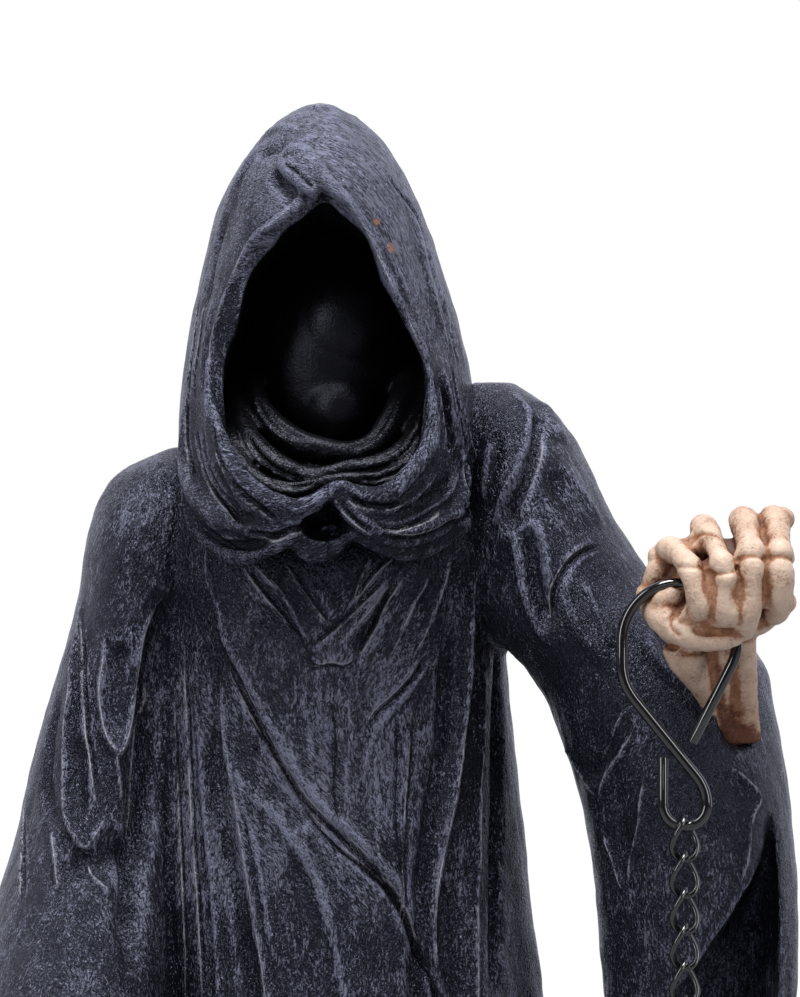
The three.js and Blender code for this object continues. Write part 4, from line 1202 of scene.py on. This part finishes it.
leftHand = {
    "voxel": 0.34,
    "fingers": [
        [(667, 549, -41, 2.3), (671, 550, -45, 2.5), (680, 555, -49, 2.1), (686, 562, -52, 2.2), (690, 568, -54, 2.4),
         (692, 577, -55, 2.1), (694, 586, -55.4, 1.9), (697, 598, -55.2, 2.1), (700, 607, -54.6, 2.3),
         (701, 612, -52.5, 2.1)],
        [(702, 526, -41, 2.4), (705, 530, -45, 2.6), (710, 539, -49, 2.4), (716, 549, -52, 1.9), (719, 556, -54, 1.9),
         (722, 564, -55.4, 2.5), (724, 571, -56, 2.0), (726, 579, -56.4, 2.1), (725, 590, -56.4, 1.65),
         (725, 600, -56.2, 1.7), (727, 612, -55.4, 2.35), (729, 619, -52.5, 2.2)],
        [(742, 519, -40.5, 2.6), (745, 524, -45, 2.9), (747, 536, -49, 2.4), (749, 546, -51.5, 2.4),
         (751, 553, -53.4, 2.8), (751.5, 560, -54.4, 2.3), (752, 568, -55, 2.4), (752, 580, -55.2, 2.0),
         (752, 592, -55, 1.9), (750, 606, -54.4, 2.3), (746, 620, -53, 2.4), (742, 632, -50, 2.2)],
        [(772, 518, -40, 2.6), (775, 524, -44, 2.9), (777, 536, -48, 2.4), (778, 546, -50, 2.4), (779.5, 554, -51.6, 2.7),
         (779, 561, -52.2, 2.3), (779, 569, -52.6, 2.8), (779, 582, -52.6, 2.8), (778, 596, -51.6, 2.9),
         (776, 609, -49.4, 2.7), (774, 614, -47, 2.3)],
    ],
    "webs": [
        [(705, 566, -50.6, 1.8), (708, 580, -53.2, 2.0), (710, 594, -54.2, 2.1), (712, 608, -53.8, 2.1),
         (712, 622, -51.5, 2.2)],
        [(735, 556, -49.5, 1.8), (738, 570, -52.4, 1.9), (738.5, 584, -54, 2.0), (738.5, 600, -54, 2.1),
         (738, 616, -53, 2.1)],
        [(764, 536, -46.8, 1.8), (765, 550, -49.6, 1.8), (765, 566, -51.4, 1.9), (765.5, 584, -52.4, 2.1),
         (764, 606, -51.4, 2.2)],
        [(694, 556, -49, 2.2), (700, 549, -48, 2.4), (706, 552, -49.5, 2.2)],
        [(666, 562, -43, 2.4), (659, 573, -43, 2.6), (655, 588, -42.5, 2.6)],
        [(684, 612, -50.5, 2.4), (697, 618, -51.2, 2.3), (708, 626, -51, 2.2)],
    ],
    "lobes": [(659, 557, -42, 2.2), (783, 519, -42, 2.2), (768, 521, -43, 2.0), (698, 538, -47, 1.6),
              (757, 557, -53.4, 1.8), (743, 556, -53.4, 1.7), (787, 557, -50.6, 1.6), (771, 557, -51, 1.7),
              (713, 568, -54, 1.5), (735, 621, -53.2, 2.0), (720, 620, -53.4, 1.7), (674, 597, -48.4, 2.1),
              (664, 601, -48, 2.2), (785, 602, -49, 2.2)],
    "thumb": [(650, 592, -41, 2.8), (656, 606, -45, 3.0), (664, 618, -48, 3.0), (675, 628, -50, 2.8),
              (689, 636, -51.5, 2.4), (705, 640, -52, 2.2), (722, 640, -52, 2.0), (738, 637, -51, 1.6)],
    "palm": [((73.4, -44.6, 270.5), (11.0, 7.0, 9.4)), ((63.6, -43.4, 267), (4.6, 5.6, 6.6)),
             ((65.6, -46.6, 264.6), (4.4, 4.6, 4.2)), ((68.6, -43, 276.6), (5.2, 6.0, 4.4)),
             ((79.6, -43, 276), (4.6, 5.4, 5.6)),
             ((65.6, -40.5, 272.4), (7.2, 5.4, 7.6))],
    "arm": [
        [(681, 640, -43, 4.0), (688, 654, -42, 4.2), (697, 668, -40, 3.8), (706, 683, -36.6, 3.2), (714, 700, -33, 2.8),
         (723, 722, -30, 2.6), (731, 741, -29, 2.4)],
        [(742, 638, -43, 2.6), (744, 655, -41, 2.4), (746, 672, -38, 2.2), (746, 690, -35, 2.2), (746, 708, -31.5, 2.3),
         (748, 726, -29.5, 2.3), (750, 742, -29, 2.2)],
        [(710, 638, -42, 3.2), (716, 660, -40, 3.0), (723, 680, -36.8, 2.7), (729, 700, -33, 2.4), (735, 722, -29.5, 2.4),
         (741, 743, -29, 2.3)],
        [(728, 638, -42, 2.8), (732, 660, -39.8, 2.5), (736, 680, -36, 2.1), (737, 702, -31, 2.0)],
    ],
    "folds": [
        ("valley", 0.45, 0.35, [(674, 565), (682, 567), (690, 568), (698, 568), (707, 565)]),
        ("valley", 0.45, 0.4, [(688, 545), (694, 538), (702, 534), (712, 534), (722, 539)]),
        ("valley", 0.5, 0.4, [(706, 570), (714, 573.5), (723, 574), (732, 573), (740, 569)]),
        ("valley", 0.5, 0.4, [(733, 560), (741, 557.5), (751, 556.5), (761, 558.5), (769, 562)]),
        ("valley", 0.5, 0.4, [(761, 559), (770, 557), (780, 557), (790, 558.5), (797, 560)]),
        ("valley", 0.5, 0.5, [(651, 588), (658, 584), (666, 583), (675, 587), (683, 592)]),
        ("valley", 0.5, 0.4, [(677, 610), (671, 620), (673, 630), (683, 637)]),
        ("valley", 0.7, 0.7, [(690, 630), (705, 633), (722, 633), (736, 629)]),
        ("valley", 1.2, 0.9, [(714, 646), (715, 662), (716, 680), (718, 698), (721, 714), (726, 735)]),
        ("valley", 0.9, 0.6, [(735, 652), (734, 668), (733, 686), (732, 704), (733, 730)]),
        ("valley", 0.6, 0.5, [(659, 642), (674, 650), (690, 655), (705, 654), (716, 650)]),
    ],
}


def sheltered(piece, reach):  # the share of directions in which each place is hemmed in, within the reach in mm
    tree = BVHTree.FromObject(piece, bpy.context.evaluated_depsgraph_get())
    points, facing = places(piece) * mm, normals(piece)
    starts = (points + facing * 0.05 * mm).tolist()
    count = 14
    hits = np.zeros(len(points))
    for number in range(count):
        height = 1 - (2 * number + 1) / count
        turn = number * 2.399963  # the golden angle
        level = math.sqrt(1 - height * height)
        rays = facing * 1.02 + (level * math.cos(turn), level * math.sin(turn), height)
        rays = (rays / np.linalg.norm(rays, axis=1)[:, None]).tolist()
        hits += [tree.ray_cast(start, ray, reach * mm)[0] is not None for start, ray in zip(starts, rays)]
    return hits / count


def boneRoll(name, joints):
    points = [tuple(placed(x, y, depth)) for x, y, depth, _ in joints]
    return roll(name, points, [radius for *_, radius in joints], 14, 0.35)


def paintBone():
    paint = Paint("old_bone", Specular_IOR_Level=0.4)
    hollow = paint.painted("hollow")
    ridge = paint.painted("ridge")
    wash_and_shade = paint.painted("wash_and_shade")
    patch = paint.grain(3.6, 4) - 0.5
    fine = paint.grain(0.55, 3) - 0.5
    shelter = paint.painted("shelter")
    # a brown wash that gathers in hollows, made heavier and near black where shelter marks hemmed-in places: brown wash
    # and painted shade
    stain_and_shade = hollow * 0.7 + shelter * 1.6 + wash_and_shade * 0.6 + patch * 3.0 + fine * 2.2 - ridge * 0.25
    brown = paint.fade(stain_and_shade, -0.50, 1.15)
    deep = paint.fade(stain_and_shade, 1.1, 2.4)
    spots = paint.fade(paint.grain(0.5, 3, 0.7) + shelter * 0.22 + wash_and_shade * 0.05 + patch * 0.70, 0.66, 0.76)
    colour = paint.blend(brown, (0.57, 0.41, 0.31), (0.29, 0.130, 0.064))
    colour = paint.blend(ridge * 0.45, colour, (0.60, 0.47, 0.37))
    colour = paint.blend(deep, colour, (0.085, 0.028, 0.014))
    colour = paint.blend(spots * 0.7, colour, (0.13, 0.045, 0.020))
    return paint.finish(colour, 0.46 + brown * 0.14, fine + patch, 0.16)


def addLeftHand():
    rolls = leftHand["fingers"] + [leftHand["thumb"]] + leftHand["webs"] + leftHand["arm"]
    parts = [boneRoll("finger", joints) for joints in rolls]
    parts += [addEgg("lobe", placed(x, y, depth), (size,) * 3) for x, y, depth, size in leftHand["lobes"]]
    parts += [addEgg("palm", centre, half) for centre, half in leftHand["palm"]]
    return joined("left_bones", parts)


def finishHand(hand, voxel, folds, node, washed_and_shaded):
    finish(hand, "REMESH", mode="VOXEL", voxel_size=voxel * mm)
    setPlaces(hand, relaxed(hand, places(hand), 4))
    setPlaces(hand, carve(hand, drawn(hand, folds)))
    points = relaxed(hand, places(hand), 1)
    lump = unrest(points, 1.6) * 0.10 + unrest(points + 40, 0.8) * 0.05
    points = points + normals(hand) * lump[:, None]
    setPlaces(hand, points)
    facing = normals(hand)
    near = np.einsum("ij,ij->i", points - relaxed(hand, points, 12), facing)
    wide = np.einsum("ij,ij->i", points - relaxed(hand, points, 60), facing)
    far = np.einsum("ij,ij->i", points - relaxed(hand, points, 220), facing)
    out = near / 0.10 + wide / 0.7 + far / 2.2 - 0.12
    attribute(hand, "ridge", np.clip(out, 0, 1))
    attribute(hand, "hollow", np.clip(-out, 0, 1))
    attribute(hand, "wash_and_shade", washed_and_shaded(points))
    # how hemmed in each place is, used to paint shade into the bone's colour
    shelter = sheltered(hand, 5)[:, None]
    average = neighbours(hand)
    for _ in range(6):
        shelter = average(shelter)
    attribute(hand, "shelter", shelter[:, 0])
    pick(hand)
    bpy.ops.object.shade_smooth()
    dress(hand, bonePaint, "bone", node)
    print(f"{hand.name} finished, {len(hand.data.polygons)} faces")


def washedAndShadedLeft(points):  # browner on the palm, between the fingers and down into the sleeve than on the fingers: a brown wash together with painted shade where the hand lies back and in the sleeve's shadow
    pixels = seen(points)
    palm = 1.7 * np.exp(-(((pixels[:, 0] - 658) / 22) ** 2 + ((pixels[:, 1] - 588) / 34) ** 2))
    arm = 0.9 * ramp(640, 660, pixels[:, 1]) + 1.6 * ramp(680, 742, pixels[:, 1]) + 3 * ramp(716, 744, pixels[:, 1])
    deep = 1.3 * ramp(-54.5, -50, points[:, 1]) * ramp(625, 600, pixels[:, 1]) * ramp(684, 700, pixels[:, 0])
    lower = 0.9 * np.exp(-(((pixels[:, 0] - 756) / 14) ** 2 + ((pixels[:, 1] - 594) / 22) ** 2))
    return np.clip(palm + arm + deep + lower, 0, 4.5)


bonePaint = paintBone()
finishHand(addLeftHand(), leftHand["voxel"], leftHand["folds"], "left_hand", washedAndShadedLeft)

rightHand = {
    "voxel": 0.4,
    "fingers": [
        [(-51.4, -31, 178), (-57.4, -34.6, 162), (-58.4, -38.2, 153.4), (-57.8, -39.8, 147), (-56.6, -39.8, 142.6)],
        [(-49.6, -31, 178), (-52.4, -35.4, 161.6), (-52.8, -39.4, 152.2), (-52.2, -41.2, 145), (-51.2, -41.2, 140.4)],
        [(-47.6, -31, 178), (-47, -35.4, 161.8), (-46.6, -39.2, 152.6), (-46, -40.8, 145.6), (-45.4, -40.8, 141)],
        [(-46, -31, 178), (-41.8, -34.8, 162.6), (-40.8, -38, 154.4), (-40.4, -39.4, 148.2), (-40.2, -39.2, 144)],
        [(-46, -32.4, 173), (-41.6, -36, 164.6), (-38.4, -39.2, 158.6), (-38.4, -40.8, 153.6)],
    ],
    "thick": 2.2,
    "thin": 1.4,
    "palm": [((-49.2, -33.0, 169), (7.0, 2.4, 7.4))],
    "arm": [
        [(-50.4, -30.6, 176), (-49.8, -29, 186), (-49.4, -27, 198), (-49, -25, 206)],
        [(-46.4, -30.6, 176), (-46.6, -29, 186), (-47, -27, 198), (-47.6, -25, 206)],
    ],
}


def addRightHand():
    thick, thin = rightHand["thick"], rightHand["thin"]
    parts = []
    for joints in rightHand["fingers"]:
        points, radii = [joints[0]], [thick]
        for before, after in zip(joints, joints[1:]):
            before, after = np.array(before), np.array(after)
            points += [tuple(before + (after - before) * share) for share in (0.3, 0.7, 1)]
            radii += [thin, thin, thick]
        parts.append(roll("finger", points, radii, 14, 0.4))
    parts += [roll("arm", path, [2.9, 2.3, 2.5], 14, 0.5) for path in rightHand["arm"]]
    parts += [addEgg("palm", centre, half) for centre, half in rightHand["palm"]]
    return joined("right_bones", parts)


# browner towards the sleeve at the top: brown wash and painted shade
finishHand(addRightHand(), rightHand["voxel"], [], "right_hand", lambda points: ramp(170, 200, points[:, 2]) * 0.8)


# Hook, chain and ring of black wire

hook = {
    "start": (61.05, -48, 240.35),
    "heading": 180,  # degrees clockwise from up, seen from the front
    "moves": [8.6, (3.95, -180), (8.1, -39), 17.8, (10.5, 39), 4.1, (10.4, 207), 15.4],
    "radius": 1.0,
    "sides": 20,
}
chain = {"links": 12, "half": (2.8, 4.0), "wire": 0.6, "first": (65.0, -48, 225.7), "pitch": 6.5}
ring = {"radius": 5.4, "wire": 0.8, "centre": (65.0, -48, 146.5)}


def paintWire():
    paint = Paint("black_wire_enamel", Coat_Weight=1, Coat_Roughness=0.04)
    worn = paint.fade(paint.grain(1.4, 4), 0.6, 0.8)
    colour = paint.blend(worn * 0.4, (0.006, 0.006, 0.007), (0.03, 0.03, 0.034))
    return paint.finish(colour, 0.13 + worn * 0.16, paint.grain(0.8, 2), 0.006)


def bendHook():
    heading = math.radians(hook["heading"])
    place = Vector(hook["start"])
    bpy.ops.object.select_all(action="DESELECT")
    bpy.ops.mesh.primitive_circle_add(
        vertices=hook["sides"], radius=hook["radius"] * mm, fill_type="NGON", location=place * mm
    )
    piece = bpy.context.object
    piece.name = piece.data.name = "hook_wire"
    bpy.ops.object.transform_apply(location=True)
    bpy.ops.object.mode_set(mode="EDIT")
    bpy.ops.mesh.select_all(action="SELECT")
    for move in hook["moves"]:
        ahead = Vector((math.sin(heading), 0, math.cos(heading)))
        if not isinstance(move, tuple):
            place = place + ahead * move
            bpy.ops.mesh.extrude_region_move(TRANSFORM_OT_translate={"value": ahead * move * mm})
            continue
        radius, degrees = move
        turn = math.radians(degrees)
        right = Vector((math.cos(heading), 0, -math.sin(heading))) * math.copysign(1, turn)
        centre = place + right * radius
        steps = max(3, int(abs(degrees) / 6))
        bpy.ops.mesh.spin(steps=steps, angle=-turn, center=centre * mm, axis=(0, 1, 0))
        heading += turn
        ahead = Vector((math.cos(heading), 0, -math.sin(heading))) * math.copysign(1, turn)
        place = centre - ahead * radius
    bpy.ops.mesh.select_all(action="SELECT")
    bpy.ops.mesh.remove_doubles(threshold=0.00001)
    bpy.ops.mesh.normals_make_consistent(inside=False)
    bpy.ops.object.mode_set(mode="OBJECT")
    finish(piece, "BEVEL", width=0.18 * mm, segments=2, limit_method="ANGLE", angle_limit=math.radians(60))
    pick(piece)
    bpy.ops.object.shade_smooth_by_angle(angle=math.radians(40))
    return piece


def bendLink():
    bpy.ops.curve.primitive_bezier_circle_add(radius=1, rotation=(math.pi / 2, 0, 0))
    piece = bpy.context.object
    piece.scale = (chain["half"][0] * mm, chain["half"][1] * mm, mm)
    bpy.ops.object.transform_apply(rotation=True, scale=True)
    for point in piece.data.splines[0].bezier_points:
        point.radius = 1
    piece.data.resolution_u = 10
    piece.data.bevel_depth = chain["wire"] * mm
    piece.data.bevel_resolution = 2
    bpy.ops.object.convert(target="MESH")
    whole = (chain["half"][1] + chain["wire"]) / chain["half"][1]
    finish(piece, "SIMPLE_DEFORM", deform_method="TWIST", deform_axis="Z", angle=math.radians(90) * whole)
    piece.rotation_euler = (0, 0, math.radians(45))
    bpy.ops.object.transform_apply(rotation=True)
    bpy.ops.object.shade_smooth()
    return piece


wirePaint = paintWire()
dress(bendHook(), wirePaint, "hook", "hook")
model = bendLink()
for number in range(chain["links"]):
    piece = model if number == chain["links"] - 1 else model.copy()
    if piece is not model:
        piece.data = model.data.copy()
        bpy.context.scene.collection.objects.link(piece)
    piece.name = piece.data.name = f"link_{number + 1:02d}"
    pick(piece)
    piece.location = (Vector(chain["first"]) - Vector((0, 0, chain["pitch"] * number))) * mm
    bpy.ops.object.transform_apply(location=True)
    dress(piece, wirePaint, "chain", f"chain_link_{number + 1:02d}")

bpy.ops.object.select_all(action="DESELECT")
bpy.ops.mesh.primitive_torus_add(
    location=Vector(ring["centre"]) * mm, rotation=(0, math.pi / 2, 0),
    major_radius=ring["radius"] * mm, minor_radius=ring["wire"] * mm, major_segments=64, minor_segments=16,
)
piece = bpy.context.object
piece.name = piece.data.name = "ring_wire"
bpy.ops.object.transform_apply(location=True, rotation=True)
bpy.ops.object.shade_smooth()
dress(piece, wirePaint, "chain", "end_ring")
print("hook and chain bent")


# Plinth

plinth = {"half": (80, 66), "middle": (0, 2), "height": 12, "round": 3.2}


def addPlinth():
    bpy.ops.object.select_all(action="DESELECT")
    bpy.ops.mesh.primitive_cylinder_add(
        vertices=128, radius=mm, depth=plinth["height"] * mm,
        location=(plinth["middle"][0] * mm, plinth["middle"][1] * mm, plinth["height"] * mm / 2),
    )
    piece = bpy.context.object
    piece.name = piece.data.name = "base"
    piece.scale = (plinth["half"][0], plinth["half"][1], 1)
    bpy.ops.object.transform_apply(location=True, scale=True)
    top = [edge.index for edge in piece.data.edges
           if all(piece.data.vertices[v].co.z > plinth["height"] * mm * 0.9 for v in edge.vertices)]
    bpy.ops.object.mode_set(mode="EDIT")
    bpy.ops.mesh.select_all(action="DESELECT")
    bpy.ops.object.mode_set(mode="OBJECT")
    for index in top:
        piece.data.edges[index].select = True
    bpy.ops.object.mode_set(mode="EDIT")
    bpy.ops.mesh.bevel(offset=plinth["round"] * mm, segments=6, profile=0.5)
    bpy.ops.object.mode_set(mode="OBJECT")
    bpy.ops.object.shade_smooth_by_angle(angle=math.radians(35))
    paint = Paint("black_base_paint", Roughness=0.5)
    patch = paint.grain(7, 4)
    fine = paint.grain(0.7, 3)
    brushed = paint.fade(patch * 0.6 + fine * 0.4, 0.5, 0.66)
    colour = paint.blend(brushed, (0.006, 0.006, 0.008), (0.04, 0.042, 0.055))
    dress(piece, paint.finish(colour, 0.4 + brushed * 0.18, patch + fine * 0.4, 0.3), "plinth", "plinth")


addPlinth()
print("plinth finished")


# Room: a pale floor, two soft boxes and a white backdrop

room = {
    "floor": 3.0,
    "floorColour": (0.27, 0.27, 0.28),
    "boxes": [
        # name, place and target in mm, width and height in m, power
        ("left strip", (-1100, -1000, 950), (0, 0, 270), (0.42, 1.6), 14),
        ("right strip", (1200, -800, 950), (0, 0, 270), (0.42, 1.6), 11),
        ("top box", (0, -350, 1600), (0, 0, 300), (0.7, 0.7), 29),
        ("front box", (120, -1900, 650), (0, 0, 270), (0.4, 0.4), 0.8),
    ],
    "ambience": (0.045, 0.95),  # from the camera's side, and from the white backdrop
    "tint": (0.84, 0.85, 1.0),
}


def addFloor():
    bpy.ops.object.select_all(action="DESELECT")
    bpy.ops.mesh.primitive_circle_add(vertices=96, radius=room["floor"], fill_type="NGON", location=(0, 0, 0))
    floor = bpy.context.object
    floor.name = floor.data.name = "floor"
    paint = Paint("pale_floor", Roughness=0.9)
    floor.data.materials.append(paint.finish((*room["floorColour"], 1)))


def addLights():
    for name, spot, target, size, power in room["boxes"]:
        bpy.ops.object.light_add(type="AREA", location=Vector(spot) * mm)
        light = bpy.context.object
        light.name = light.data.name = name
        light.data.shape = "RECTANGLE"
        light.data.size, light.data.size_y = size
        light.data.energy = power
        light.rotation_euler = (Vector(spot) - Vector(target)).to_track_quat("Z", "Y").to_euler()
    world = bpy.data.worlds.new("studio")
    world.use_nodes = True
    net = Net(world.node_tree)
    shader = net.tree.nodes["Background"]
    direction = net.node("ShaderNodeTexCoord", output="Generated")
    back = net.node("ShaderNodeSeparateXYZ", {}, {0: direction}, output=1)
    level = net.between(net.fade(back, -0.2, 0.7), *room["ambience"])
    direct = net.node("ShaderNodeLightPath", output="Is Camera Ray")
    net.link(shader.inputs["Color"], net.blend(direct, room["tint"], (1, 1, 1)))
    net.link(shader.inputs["Strength"], net.between(direct, level, 1))
    scene = bpy.context.scene
    scene.world = world
    scene.view_settings.view_transform = "Standard"


addFloor()
addLights()
print("room lit")
